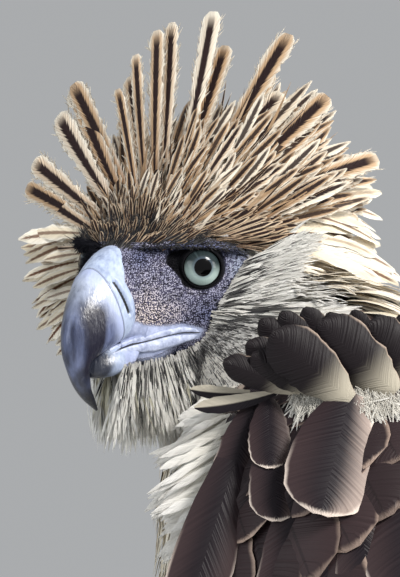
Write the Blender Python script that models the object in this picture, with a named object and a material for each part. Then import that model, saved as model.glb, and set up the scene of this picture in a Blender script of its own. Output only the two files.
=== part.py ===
"""A life-size Philippine eagle that stands on the floor and turns its head to its left.

Metres, +Z up. The body faces -Y and the bird's left side is +X. The head, its crest, the bill and
the eyes are modelled in the head's own frame, which also faces -Y, and are turned with it. Feathers
with a shape of their own are thin vanes fused into the sub-part that they grow from.
"""

import math
import random

import bmesh
import bpy
from mathutils import Matrix, Vector

# Clearances
GAP = 0.0003
INFLATE = 0.0004

# Head, in its own frame: x to its left, -y forward, z up from the centre between the eyes
HEAD_PLACE = Vector((0.031, -0.093, 0.715))
HEAD_YAW = math.radians(75.0)
EYE_RADIUS = 0.0110
EYE_CENTRE = Vector((0.0222, 0.0012, 0.0))
EYE_AXIS_YAW = math.radians(42.0)
LID_RADIUS = 0.0094
LID_THICKNESS = 0.0017
SKULL_SIDES = 18
SKULL_STEPS = 9
MOUTH_GROOVE = 0.0011
BROW_RADIUS = 0.0036

# Bill, as distances forward of the eyes and above them
CERE_TOP = (0.0205, 0.0100)
MOUTH_FRONT = (0.0270, -0.0285)
BILL_HALF_WIDTH = 0.0165
BILL_SIDES = 12

# Body
BODY_SIDES = 18
TORSO_STEPS = 10
NECK_PARTING = 0.735
NECK_STEPS = 4

# Vanes
VANE_THICKNESS = 0.0015
TIP_THICKNESS = 0.0005
VANE_CAMBER = 0.0008
ROOT_SINK = 0.0035

# Tail
TAIL_FEATHERS = 12
TAIL_LENGTH = 0.420
TAIL_FEATHER_WIDTH = 0.046
TAIL_SLOPE = math.radians(44.0)
TAIL_FAN = math.radians(1.6)
TAIL_LAYER = 0.0026

# Legs
FOOT_CENTRE = Vector((0.066, 0.056, 0.0))
ANKLE_BEHIND = 0.036
TOE_RADIUS = 0.0088

# Colours as linear red, green and blue
BROWN = (0.045, 0.026, 0.020)
CREAM = (0.62, 0.45, 0.28)
WHITE = (0.78, 0.72, 0.62)
BILL_BLUE = (0.20, 0.24, 0.29)
IRIS_BLUE = (0.42, 0.52, 0.52)
LEG_YELLOW = (0.62, 0.48, 0.20)
CLAW_BLACK = (0.015, 0.014, 0.016)


def clear_scene():
    for item in list(bpy.data.objects):
        bpy.data.objects.remove(item, do_unlink=True)


def paint(name, colour, roughness):
    """One Principled BSDF material."""
    material = bpy.data.materials.new(name)
    material.use_nodes = True
    shader = material.node_tree.nodes["Principled BSDF"]
    shader.inputs["Base Color"].default_value = (*colour, 1.0)
    shader.inputs["Roughness"].default_value = roughness
    shader.inputs["Metallic"].default_value = 0.0
    return material


def mesh_object(name, points, triangles, material):
    """An object from points and triangles, turned so that its faces point out."""
    mesh = bpy.data.meshes.new(name)
    mesh.from_pydata([tuple(point) for point in points], [], triangles)
    shape = bmesh.new()
    shape.from_mesh(mesh)
    bmesh.ops.recalc_face_normals(shape, faces=shape.faces)
    if shape.calc_volume(signed=True) < 0.0:
        bmesh.ops.reverse_faces(shape, faces=shape.faces)
    shape.to_mesh(mesh)
    shape.free()
    mesh.materials.append(material)
    item = bpy.data.objects.new(name, mesh)
    bpy.context.scene.collection.objects.link(item)
    return item


def flat_cap(first, sides):
    """Triangles over a ring, in strips between its two long sides."""
    triangles = []
    for step in range(sides // 2):
        near = first + step
        following = first + step + 1
        across = first + (sides - step) % sides
        beyond = first + sides - step - 1
        if near != across:
            triangles.append((near, beyond, across))
        if following != beyond:
            triangles.append((near, following, beyond))
    return triangles


def skin_rings(name, rings, material, lens=False):
    """Close a stack of rings of equal size with triangles and a fan, or strips for a lens, at each end."""
    sides = len(rings[0])
    points = [point for ring in rings for point in ring]
    triangles = []
    for row in range(len(rings) - 1):
        for side in range(sides):
            following = (side + 1) % sides
            near = row * sides
            far = near + sides
            triangles.append((near + side, near + following, far + following))
            triangles.append((near + side, far + following, far + side))
    for row in (0, len(rings) - 1):
        if lens:
            triangles += flat_cap(row * sides, sides)
            continue
        centre = sum(rings[row], Vector()) / sides
        points.append(centre)
        for side in range(sides):
            triangles.append((row * sides + side, row * sides + (side + 1) % sides, len(points) - 1))
    return mesh_object(name, points, triangles, material)


def oval(centre, rise, spread, sides, belly=0.0):
    """A ring round a centre; belly above 0 makes the side away from rise the wider one."""
    ring = []
    for side in range(sides):
        turn = math.tau * side / sides
        wide = 1.0 - belly * math.cos(turn)
        ring.append(centre + rise * math.cos(turn) + spread * math.sin(turn) * wide)
    return ring


def blend(values, place):
    """Read a smooth curve through rows of numbers, with place from 0 at the first to 1 at the last."""
    spans = len(values) - 1
    scaled = min(max(place, 0.0), 1.0) * spans
    index = min(int(scaled), spans - 1)
    t = scaled - index
    before = values[max(index - 1, 0)]
    start = values[index]
    end = values[index + 1]
    after = values[min(index + 2, spans)]
    row = []
    for a, b, c, d in zip(before, start, end, after):
        slope_start = 0.5 * (c - a)
        slope_end = 0.5 * (d - b)
        row.append(
            (2 * t**3 - 3 * t**2 + 1) * b
            + (t**3 - 2 * t**2 + t) * slope_start
            + (3 * t**2 - 2 * t**3) * c
            + (t**3 - t**2) * slope_end
        )
    return row


class Tube:
    """A rounded body through stations of x, y, z, half-width, dorsal and ventral height and lean.

    Place runs from 0 to 1 along it. The angle is 0 at the bird's left, 90 degrees on the back.
    """

    def __init__(self, stations):
        self.stations = [tuple(row) + (0.0,) * (7 - len(row)) for row in stations]

    def frame(self, place):
        row = blend(self.stations, place)
        step = 0.01
        ahead = blend(self.stations, min(place + step, 1.0))
        behind = blend(self.stations, max(place - step, 0.0))
        along = (Vector(ahead[:3]) - Vector(behind[:3])).normalized()
        side = Vector((1.0, 0.0, 0.0))
        side = (side - along * side.dot(along)).normalized()
        if row[6]:
            along = Matrix.Rotation(math.radians(row[6]), 3, side) @ along
        return Vector(row[:3]), along, side, along.cross(side), row[3:6]

    def point(self, place, angle, height=0.0):
        centre, _, side, back, (half, dorsal, ventral) = self.frame(place)
        tall = dorsal if math.sin(angle) > 0.0 else ventral
        across = math.cos(angle)
        up = math.sin(angle)
        outward = (side * (across / half) + back * (up / tall)).normalized()
        return centre + side * (half * across) + back * (tall * up) + outward * height

    def ring(self, place, sides, height=0.0):
        return [self.point(place, math.tau * side / sides, height) for side in range(sides)]

    def length(self):
        corners = [Vector(row[:3]) for row in self.stations]
        return sum((b - a).length for a, b in zip(corners, corners[1:]))

    def solid(self, name, first, last, steps, sides, material, height=0.0):
        places = [first + (last - first) * step / steps for step in range(steps + 1)]
        return skin_rings(name, [self.ring(place, sides, height) for place in places], material)


# How wide a vane is along its length, from its quill to its tip
BLUNT = ((0.0, 0.30), (0.30, 0.82), (0.62, 1.0), (0.88, 0.78), (1.0, 0.22))
SHORT = ((0.0, 0.40), (0.45, 0.95), (0.85, 0.80), (1.0, 0.24))
STUB = ((0.0, 0.45), (0.62, 1.0), (1.0, 0.30))


def vane_solid(name, sections, material):
    """A thin vane from sections of left edge, top, right edge and underside, in triangles."""
    points = [point for section in sections for point in section]
    triangles = []
    for row in range(len(sections) - 1):
        near = row * 4
        far = near + 4
        triangles += [(near, near + 1, far + 1), (near, far + 1, far)]
        triangles += [(near + 2, near + 1, far + 1), (near + 2, far + 1, far + 2)]
        triangles += [(near, near + 3, far + 3), (near, far + 3, far)]
        triangles += [(near + 2, near + 3, far + 3), (near + 2, far + 3, far + 2)]
    last = len(points) - 4
    triangles += [(0, 1, 2), (0, 2, 3), (last, last + 1, last + 2), (last, last + 2, last + 3)]
    return mesh_object(name, points, triangles, material)


def thickness_at(t):
    return VANE_THICKNESS + (TIP_THICKNESS - VANE_THICKNESS) * t


def free_vane(root, direction, face, length, width, material, bend=0.0, outline=BLUNT, grow=0.0):
    """A vane that stands out from its root; face is the way its upper side looks."""
    direction = direction.normalized()
    side = direction.cross(face).normalized()
    face = side.cross(direction).normalized()
    sections = []
    for t, share in outline:
        middle = root + direction * (length * t) + face * (bend * t * t)
        half = 0.5 * width * share + 2.0 * grow
        thick = 0.5 * thickness_at(t) + grow
        crown = middle + face * (VANE_CAMBER * share)
        sections.append((
            middle - side * half, crown + face * thick, middle + side * half, crown - face * thick,
        ))
    return vane_solid("vane", sections, material)


def laid_vane(tube, place, angle, length, width, material, lift, roll=0.0, base=0.0, outline=BLUNT):
    """A vane that lies along a tube towards its place 0, with its root sunk and its tip lifted."""
    reach = length / tube.length()
    sections = []
    for t, share in outline:
        here = max(place - reach * t, 0.0)
        _, _, _, _, (half_width, dorsal, ventral) = tube.frame(here)
        radius = 0.5 * (half_width + (dorsal if math.sin(angle) > 0.0 else ventral))
        half = 0.5 * width * share
        swing = half / radius
        high = base - ROOT_SINK + (lift + ROOT_SINK) * (1.0 - (1.0 - t) ** 2)
        thick = 0.5 * thickness_at(t)
        edge = high - VANE_CAMBER * share
        sections.append((
            tube.point(here, angle - swing, edge - roll * half),
            tube.point(here, angle, high + thick),
            tube.point(here, angle + swing, edge + roll * half),
            tube.point(here, angle, high - thick),
        ))
    return vane_solid("vane", sections, material)


def settle(item):
    """Replace an object's mesh by what its modifiers make of it."""
    bpy.context.view_layer.update()
    item.update_tag()
    bpy.context.view_layer.update()
    evaluated = item.evaluated_get(bpy.context.evaluated_depsgraph_get())
    settled = bpy.data.meshes.new_from_object(evaluated)
    item.modifiers.clear()
    item.data = settled


def keep_largest(item):
    """Leave only the largest closed surface of a mesh."""
    shape = bmesh.new()
    shape.from_mesh(item.data)
    bmesh.ops.triangulate(shape, faces=shape.faces)
    shape.faces.ensure_lookup_table()
    unseen = set(shape.faces)
    surfaces = []
    while unseen:
        surface = [unseen.pop()]
        for face in surface:
            for edge in face.edges:
                for neighbour in edge.link_faces:
                    if neighbour in unseen:
                        unseen.remove(neighbour)
                        surface.append(neighbour)
        surfaces.append(surface)
    surfaces.sort(key=lambda surface: sum(face.calc_area() for face in surface))
    spare = [face for surface in surfaces[:-1] for face in surface]
    bmesh.ops.delete(shape, geom=spare, context="FACES")
    shape.to_mesh(item.data)
    shape.free()
    item.data.update()


def fuse(core, pieces):
    """Join a core and its pieces into one closed body; thin vanes at shallow angles need MANIFOLD."""
    group = bpy.data.collections.new(core.name + "_pieces")
    bpy.context.scene.collection.children.link(group)
    for piece in pieces:
        bpy.context.scene.collection.objects.unlink(piece)
        group.objects.link(piece)
    union = core.modifiers.new("pieces", "BOOLEAN")
    union.operation = "UNION"
    union.operand_type = "COLLECTION"
    union.collection = group
    union.solver = "MANIFOLD"
    settle(core)
    for piece in list(group.objects):
        bpy.data.objects.remove(piece, do_unlink=True)
    bpy.data.collections.remove(group)
    keep_largest(core)


def carve(item, cutter):
    """Take a cutter out of an object and remove the cutter."""
    cutter.hide_render = True
    cutter.display_type = "WIRE"
    cut = item.modifiers.new("carve", "BOOLEAN")
    cut.operation = "DIFFERENCE"
    cut.object = cutter
    cut.solver = "MANIFOLD"
    settle(item)
    bpy.data.objects.remove(cutter, do_unlink=True)
    keep_largest(item)


def finish(item, parent, material):
    """Name one material, smooth the shading and hang the object on its parent."""
    item.data.materials.clear()
    item.data.materials.append(material)
    item.data.shade_smooth()
    item.data.set_sharp_from_angle(angle=math.radians(40.0))
    item.parent = parent
    return item


def ahead(forward, left, up):
    """A point in the head's frame from its distances forward, to the left and up."""
    return Vector((left, -forward, up))


SKULL = Tube([
    (0.0, 0.0740, -0.0040, 0.010, 0.012, 0.012),
    (0.0, 0.0640, -0.0040, 0.028, 0.026, 0.027),
    (0.0, 0.0420, -0.0040, 0.0385, 0.036, 0.038),
    (0.0, 0.0160, -0.0040, 0.0380, 0.0345, 0.039),
    (0.0, 0.0000, -0.0060, 0.0305, 0.0300, 0.036, -13.0),
    (0.0, -0.0110, -0.0100, 0.0232, 0.0255, 0.031, -24.0),
    (0.0, -0.0190, -0.0130, 0.0190, 0.0250, 0.028, -27.0),
    (0.0, -0.0245, -0.0145, 0.0170, 0.0250, 0.0255, -24.5),
])

BODY = Tube([
    (0.0, 0.186, 0.326, 0.040, 0.028, 0.030),
    (0.0, 0.140, 0.378, 0.066, 0.050, 0.060),
    (0.0, 0.088, 0.440, 0.088, 0.068, 0.086),
    (0.0, 0.046, 0.505, 0.099, 0.080, 0.097),
    (0.0, 0.012, 0.568, 0.097, 0.082, 0.097),
    (0.0, -0.016, 0.622, 0.084, 0.074, 0.084),
    (0.0, -0.040, 0.656, 0.064, 0.058, 0.064),
    (0.0, -0.062, 0.680, 0.044, 0.041, 0.045),
    (0.0, -0.080, 0.702, 0.032, 0.030, 0.032),
])

# The surface that a folded wing lies on, from its tip to its shoulder
WING_LIE = Tube([
    (0.0, 0.318, 0.170, 0.044, 0.032, 0.032),
    (0.0, 0.210, 0.288, 0.076, 0.056, 0.060),
    (0.0, 0.122, 0.392, 0.104, 0.086, 0.094),
    (0.0, 0.056, 0.496, 0.116, 0.097, 0.108),
    (0.0, 0.004, 0.598, 0.112, 0.095, 0.106),
    (0.0, -0.026, 0.650, 0.092, 0.078, 0.086),
    (0.0, -0.040, 0.682, 0.066, 0.060, 0.062),
])


def skull_place(forward):
    """Where a distance forward of the eyes lies along the skull."""
    low = 0.0
    high = 1.0
    for _ in range(30):
        middle = 0.5 * (low + high)
        if -SKULL.frame(middle)[0].y < forward:
            low = middle
        else:
            high = middle
    return low


# Crest rows: forward, feathers, half-angle, length, backward lean
CREST_ROWS = (
    (0.010, 4, 40.0, 0.036, 30.0),
    (-0.002, 6, 58.0, 0.056, 25.0),
    (-0.015, 7, 74.0, 0.072, 27.0),
    (-0.029, 8, 86.0, 0.081, 35.0),
    (-0.044, 8, 92.0, 0.083, 47.0),
    (-0.058, 6, 90.0, 0.078, 62.0),
)
CREST_WIDTH = 0.0145
FOREHEAD_NARROWER = 0.72
CREST_SIDE_SHORTER = 0.42
CREST_BEND = -0.10
CREST_STUB_ROWS = 3
CREST_SEED = 11


def crest_feathers(material, grow=0.0):
    """Vanes that fan out round the head from the forehead to the nape."""
    chance = random.Random(CREST_SEED)
    vanes = []
    for row, (forward, count, spread, length, lean) in enumerate(CREST_ROWS):
        place = skull_place(forward)
        for index in range(count):
            share = 2.0 * index / (count - 1) - 1.0
            around = math.radians(spread * share + chance.uniform(-2.5, 2.5))
            tilt = math.radians(lean + chance.uniform(-3.0, 3.0))
            radial = Vector((math.sin(around), 0.0, math.cos(around)))
            backward = Vector((0.0, 1.0, 0.0))
            direction = radial * math.cos(tilt) + backward * math.sin(tilt)
            face = radial * math.sin(tilt) - backward * math.cos(tilt)
            root = SKULL.point(place, math.radians(90.0) - around, -ROOT_SINK)
            shorter = 1.0 - CREST_SIDE_SHORTER * (abs(around) / math.radians(90.0)) ** 2
            vanes.append(free_vane(
                root, direction, face, length * shorter * chance.uniform(0.92, 1.06),
                CREST_WIDTH * (FOREHEAD_NARROWER if row == 0 else 1.0) * chance.uniform(0.9, 1.1), material,
                bend=CREST_BEND * length, outline=STUB if row < CREST_STUB_ROWS else SHORT, grow=grow,
            ))
    return vanes


# Cheek vanes from the chin back to the ear: how far forward each starts, and how far round
CHEEK_COUNT = 4
CHEEK_ENDS = ((0.010, -62.0), (-0.042, -16.0))


def cheek_feathers(material, grow=0.0):
    """Vanes that hang from the cheeks and the chin."""
    vanes = []
    for side in (1, -1):
        for index in range(CHEEK_COUNT):
            share = index / (CHEEK_COUNT - 1)
            forward, degrees = blend(CHEEK_ENDS, share)
            place = skull_place(forward)
            angle = math.radians(degrees)
            if side < 0:
                angle = math.pi - angle
            root = SKULL.point(place, angle, -ROOT_SINK)
            outward = (SKULL.point(place, angle, 0.01) - root).normalized()
            hang = Vector((0.45 * side, 0.15 + 0.60 * share, -0.9 + 0.45 * share)).normalized()
            vanes.append(free_vane(
                root, hang + outward * 0.45, outward, 0.024 + 0.008 * share, 0.0125, material,
                bend=-0.002, outline=STUB, grow=grow,
            ))
    return vanes


def eye_axis(side):
    return Vector((side * math.sin(EYE_AXIS_YAW), -math.cos(EYE_AXIS_YAW), 0.0))


def eye_centre(side):
    return Vector((side * EYE_CENTRE.x, EYE_CENTRE.y, EYE_CENTRE.z))


def eye_ball(name, side, radius, material):
    """A ball with its pole on the eye's axis."""
    axis = eye_axis(side)
    across = axis.cross(Vector((0.0, 0.0, 1.0))).normalized()
    up = across.cross(axis)
    rings = []
    steps = 6
    for step in range(steps + 1):
        polar = math.radians(8.0) + (math.pi - math.radians(16.0)) * step / steps
        centre = eye_centre(side) + axis * (radius * math.cos(polar))
        wide = radius * math.sin(polar)
        rings.append(oval(centre, up * wide, across * wide, 12))
    return skin_rings(name, rings, material)


def bent_bar(name, points, radii, sides, material):
    """A round bar through points, with a radius at each."""
    rings = []
    for index, point in enumerate(points):
        along = (points[min(index + 1, len(points) - 1)] - points[max(index - 1, 0)]).normalized()
        helper = Vector((0.0, 0.0, 1.0)) if abs(along.z) < 0.9 else Vector((0.0, 1.0, 0.0))
        across = along.cross(helper).normalized()
        rise = across.cross(along)
        rings.append(oval(point, rise * radii[index], across * radii[index], sides))
    return skin_rings(name, rings, material)


def lid_ring(side, material):
    """The rim of skin round an eye, fused into the face."""
    axis = eye_axis(side)
    across = axis.cross(Vector((0.0, 0.0, 1.0))).normalized()
    up = across.cross(axis)
    centre = eye_centre(side) + axis * (EYE_RADIUS * 0.58)
    sides = 4
    steps = 12
    rings = []
    for step in range(steps):
        turn = math.tau * step / steps
        outward = up * math.cos(turn) + across * math.sin(turn)
        rings.append(oval(
            centre + outward * (LID_RADIUS + 0.5 * LID_THICKNESS), outward * LID_THICKNESS,
            axis * LID_THICKNESS, sides,
        ))
    points = [point for ring in rings for point in ring]
    triangles = []
    for step in range(steps):
        near = step * sides
        far = (step + 1) % steps * sides
        for index in range(sides):
            following = (index + 1) % sides
            triangles.append((near + index, near + following, far + following))
            triangles.append((near + index, far + following, far + index))
    return mesh_object("lid", points, triangles, material)


def face_point(forward, up, side, height):
    """A point on the skull's side at a distance forward and up."""
    place = skull_place(forward)
    centre, _, _, _, (_, dorsal, ventral) = SKULL.frame(place)
    tall = dorsal if up > centre.z else ventral
    angle = math.asin(max(min((up - centre.z) / tall, 1.0), -1.0))
    if side < 0:
        angle = math.pi - angle
    return SKULL.point(place, angle, height)


# The brow overhangs the eye: its centre line as forward, to the side and up
BROW_LINE = (
    (0.0190, 0.0120, 0.0092), (0.0110, 0.0222, 0.0102), (0.0030, 0.0292, 0.0100), (-0.0060, 0.0328, 0.0086),
    (-0.0160, 0.0338, 0.0060),
)
BROW_SWELL = (0.60, 0.95, 1.0, 0.95, 0.50)
MOUTH_LINE = ((0.030, -0.0292), (0.019, -0.0280), (0.009, -0.0266), (0.001, -0.0262))


def make_head(parent, feather, skin):
    head = SKULL.solid("head", 0.0, 1.0, SKULL_STEPS, SKULL_SIDES, feather)
    pieces = []
    for side in (1, -1):
        pieces.append(lid_ring(side, skin))
        brow = [ahead(forward, side * out, up) for forward, out, up in BROW_LINE]
        pieces.append(bent_bar("brow", brow, [BROW_RADIUS * swell for swell in BROW_SWELL], 6, skin))
    pieces += crest_feathers(feather)
    pieces += cheek_feathers(feather)
    fuse(head, pieces)
    for side in (1, -1):
        carve(head, eye_ball("socket", side, EYE_RADIUS + GAP, skin))
        mouth = [face_point(forward, up, side, 0.0004) for forward, up in MOUTH_LINE]
        radii = [MOUTH_GROOVE] * (len(mouth) - 1) + [0.3 * MOUTH_GROOVE]
        carve(head, bent_bar("mouth", mouth, radii, 5, skin))
    return finish(head, parent, feather)


def bill_section(upper, lower, half_width):
    """A ring across the bill between a point on its top line and one on its lower line."""
    top = ahead(upper[0], 0.0, upper[1])
    bottom = ahead(lower[0], 0.0, lower[1])
    middle = 0.5 * (top + bottom)
    return oval(middle, top - middle, Vector((half_width, 0.0, 0.0)), BILL_SIDES, belly=0.16)


# Upper bill: top line, mouth edge and half-width of each section, from the cere to the hook's tip
UPPER_BILL = (
    (CERE_TOP, MOUTH_FRONT, BILL_HALF_WIDTH),
    ((0.0270, 0.0092), (0.0305, -0.0294), 0.0157),
    ((0.0345, 0.0062), (0.0350, -0.0308), 0.0142),
    ((0.0430, 0.0006), (0.0400, -0.0330), 0.0120),
    ((0.0500, -0.0060), (0.0440, -0.0348), 0.0100),
    ((0.0555, -0.0140), (0.0470, -0.0364), 0.0082),
    ((0.0588, -0.0220), (0.0492, -0.0384), 0.0066),
    ((0.0597, -0.0300), (0.0496, -0.0410), 0.0054),
    ((0.0576, -0.0380), (0.0478, -0.0442), 0.0045),
    ((0.0530, -0.0462), (0.0462, -0.0478), 0.0036),
    ((0.0470, -0.0522), (0.0430, -0.0512), 0.0025),
    ((0.0392, -0.0568), (0.0386, -0.0560), 0.0006),
)
# Lower bill, from the chin to its front end
LOWER_BILL = (
    ((0.0275, -0.0291), (0.0290, -0.0400), 0.0148),
    ((0.0330, -0.0311), (0.0330, -0.0414), 0.0132),
    ((0.0380, -0.0330), (0.0380, -0.0426), 0.0108),
    ((0.0425, -0.0352), (0.0425, -0.0430), 0.0080),
    ((0.0462, -0.0380), (0.0462, -0.0424), 0.0048),
    ((0.0474, -0.0400), (0.0474, -0.0412), 0.0020),
)
# Nostril ends as forward, to the side and up
NOSTRIL_TOP = (0.0402, 0.0104, -0.0054)
NOSTRIL_FOOT = (0.0362, 0.0142, -0.0174)
NOSTRIL_RADIUS = 0.0012


def bill_half(name, sections, material):
    """One half of the bill, set a gap off the head and off the other half."""
    rings = [bill_section(*section) for section in sections]
    drop = Vector((0.0, -GAP - 0.0002, 0.0))
    if name == "bill_lower":
        drop = drop + Vector((0.0, 0.0, -GAP - 0.0003))
    rings = [[point + drop for point in ring] for ring in rings]
    return skin_rings(name, rings, material)


def make_bill(parent, horn):
    upper = bill_half("bill_upper", UPPER_BILL, horn)
    for side in (1, -1):
        top = ahead(NOSTRIL_TOP[0], side * NOSTRIL_TOP[1], NOSTRIL_TOP[2])
        foot = ahead(NOSTRIL_FOOT[0], side * NOSTRIL_FOOT[1], NOSTRIL_FOOT[2])
        middle = 0.5 * (top + foot)
        radii = (0.4 * NOSTRIL_RADIUS, NOSTRIL_RADIUS, 0.4 * NOSTRIL_RADIUS)
        carve(upper, bent_bar("nostril", (top, middle, foot), radii, 8, horn))
    finish(upper, parent, horn)
    finish(bill_half("bill_lower", LOWER_BILL, horn), parent, horn)


def make_eyes(parent, iris):
    for name, side in (("eye_left", 1), ("eye_right", -1)):
        finish(eye_ball(name, side, EYE_RADIUS, iris), parent, iris)


# Hackle rows on the neck: place along the body, feathers, length, width, lift
HACKLE_ROWS = (
    (0.885, 6, 0.056, 0.030, 0.0100),
    (0.848, 7, 0.066, 0.034, 0.0112),
    (0.810, 9, 0.074, 0.038, 0.0122),
)
HACKLE_SEED = 5


def make_neck(parent, head_empty, feather):
    neck = BODY.solid("neck", NECK_PARTING, 1.0, NECK_STEPS, BODY_SIDES, feather)
    chance = random.Random(HACKLE_SEED)
    vanes = []
    for row, (place, count, length, width, lift) in enumerate(HACKLE_ROWS):
        for index in range(count):
            angle = math.tau * (index + 0.5 * (row % 2)) / count
            over_wing = 1.0 - 0.46 * math.cos(angle) ** 4
            vanes.append(laid_vane(
                BODY, place, angle, length * over_wing * chance.uniform(0.94, 1.05), width, feather,
                lift + chance.uniform(0.0, 0.0012), roll=0.10, outline=SHORT,
            ))
    fuse(neck, vanes)
    shell = SKULL.solid("shell", 0.0, 1.0, SKULL_STEPS, SKULL_SIDES, feather, height=INFLATE)
    fuse(shell, crest_feathers(feather, INFLATE) + cheek_feathers(feather, INFLATE))
    shell.matrix_world = head_empty.matrix_world.copy()
    carve(neck, shell)
    return finish(neck, parent, feather)


# Mantle rows on the back: place, feathers, half-angle, length, width, lift
MANTLE_ROWS = (
    (0.670, 4, 34.0, 0.066, 0.036, 0.0055),
    (0.580, 5, 32.0, 0.070, 0.036, 0.0060),
    (0.480, 4, 24.0, 0.072, 0.038, 0.0065),
    (0.370, 4, 24.0, 0.074, 0.038, 0.0065),
    (0.240, 4, 24.0, 0.072, 0.036, 0.0065),
)
MANTLE_SEED = 3


def torso_core(name, material, height=0.0):
    last = NECK_PARTING - GAP / BODY.length()
    return BODY.solid(name, 0.0, last, TORSO_STEPS, BODY_SIDES, material, height)


def make_torso(parent, feather):
    chance = random.Random(MANTLE_SEED)
    torso = torso_core("torso", feather)
    vanes = []
    for row, (place, count, spread, length, width, lift) in enumerate(MANTLE_ROWS):
        for index in range(count):
            share = 2.0 * index / (count - 1) - 1.0
            angle = math.radians(90.0 + spread * share)
            vanes.append(laid_vane(
                BODY, place, angle, length * chance.uniform(0.95, 1.05), width, feather, lift,
                roll=0.08, outline=SHORT,
            ))
    fuse(torso, vanes)
    return finish(torso, parent, feather)


# Wing edges on its lie as places, upper angles and lower angles in degrees, tip to shoulder
WING_CORE = (
    (0.43, 46.0, -16.0),
    (0.54, 56.0, -30.0),
    (0.65, 62.0, -40.0),
    (0.76, 60.0, -33.0),
    (0.85, 54.0, -16.0),
    (0.92, 42.0, -7.0),
    (0.965, 26.0, 3.0),
)
WING_CORE_HALF = 0.0062
WING_CORE_ARC = 6

# Wing tiers: place, feathers, upper and lower angle, length, width, lift, base height, layer
WING_TIERS = (
    (0.50, 6, 22.0, -12.0, 0.300, 0.036, -0.0005, -0.0030, 0.0016),
    (0.58, 7, 44.0, -20.0, 0.190, 0.044, 0.0090, 0.0010, 0.0),
    (0.70, 6, 48.0, -30.0, 0.112, 0.047, 0.0105, 0.0012, 0.0),
    (0.79, 4, 46.0, -17.0, 0.084, 0.050, 0.0110, 0.0012, 0.0),
    (0.87, 3, 38.0, 0.0, 0.070, 0.046, 0.0110, 0.0012, 0.0),
)
WING_SEED = 9


def wing_core(name, material):
    """A lens-shaped plate along the wing's lie, thick in the middle and thin at its edges."""
    rings = []
    for place, upper, lower in WING_CORE:
        ring = []
        for layer in (1, -1):
            for step in range(WING_CORE_ARC):
                share = step / WING_CORE_ARC if layer > 0 else 1.0 - step / WING_CORE_ARC
                angle = math.radians(lower + (upper - lower) * share)
                bulge = math.sqrt(max(1.0 - (2.0 * share - 1.0) ** 2, 0.0))
                ring.append(WING_LIE.point(place, angle, layer * WING_CORE_HALF * bulge))
        rings.append(ring)
    return skin_rings(name, rings, material, lens=True)


RUFFLED_COUNT = 5
RUFFLED_LENGTH = 0.046
RUFFLED_WIDTH = 0.028


def ruffled_feathers(material):
    """Broad scapular vanes on the left shoulder that stand up towards the head."""
    vanes = []
    for index in range(RUFFLED_COUNT):
        share = index / (RUFFLED_COUNT - 1)
        place = 0.930 - 0.075 * share
        angle = math.radians(30.0 + 18.0 * share)
        root = WING_LIE.point(place, angle, 0.0)
        outward = (WING_LIE.point(place, angle, 0.01) - root).normalized()
        stand = Vector((0.25, -0.42 + 0.20 * share, 1.0))
        vanes.append(free_vane(
            root, stand, outward + Vector((0.0, 0.3, 0.0)), RUFFLED_LENGTH, RUFFLED_WIDTH, material,
            bend=0.004, outline=STUB,
        ))
    return vanes


def mirrored(name, source, parent):
    """The right side's copy of a left piece."""
    mesh = source.data.copy()
    mesh.transform(Matrix.Diagonal((-1.0, 1.0, 1.0, 1.0)))
    mesh.flip_normals()
    copy = bpy.data.objects.new(name, mesh)
    bpy.context.scene.collection.objects.link(copy)
    copy.parent = parent
    return copy


def make_wing(name, parent, feather):
    chance = random.Random(WING_SEED)
    wing = wing_core(name, feather)
    vanes = []
    for tier, (place, count, upper, lower, length, width, lift, base, layer) in enumerate(WING_TIERS):
        for index in range(count):
            share = index / (count - 1)
            angle = math.radians(lower + (upper - lower) * share)
            grown = length * (1.0 - 0.10 * abs(share - 0.4)) * chance.uniform(0.97, 1.03)
            if tier == 0:
                grown = length * (0.78 + 0.22 * (1.0 - share))
            level = base + layer * index + chance.uniform(-0.0002, 0.0002)
            vanes.append(laid_vane(
                WING_LIE, place, angle, grown, width, feather, lift, roll=0.09, base=level,
                outline=BLUNT if tier < 2 else SHORT,
            ))
    vanes += ruffled_feathers(feather)
    fuse(wing, vanes)
    carve(wing, torso_core("clearance", feather, height=INFLATE))
    return finish(wing, parent, feather)


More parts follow.
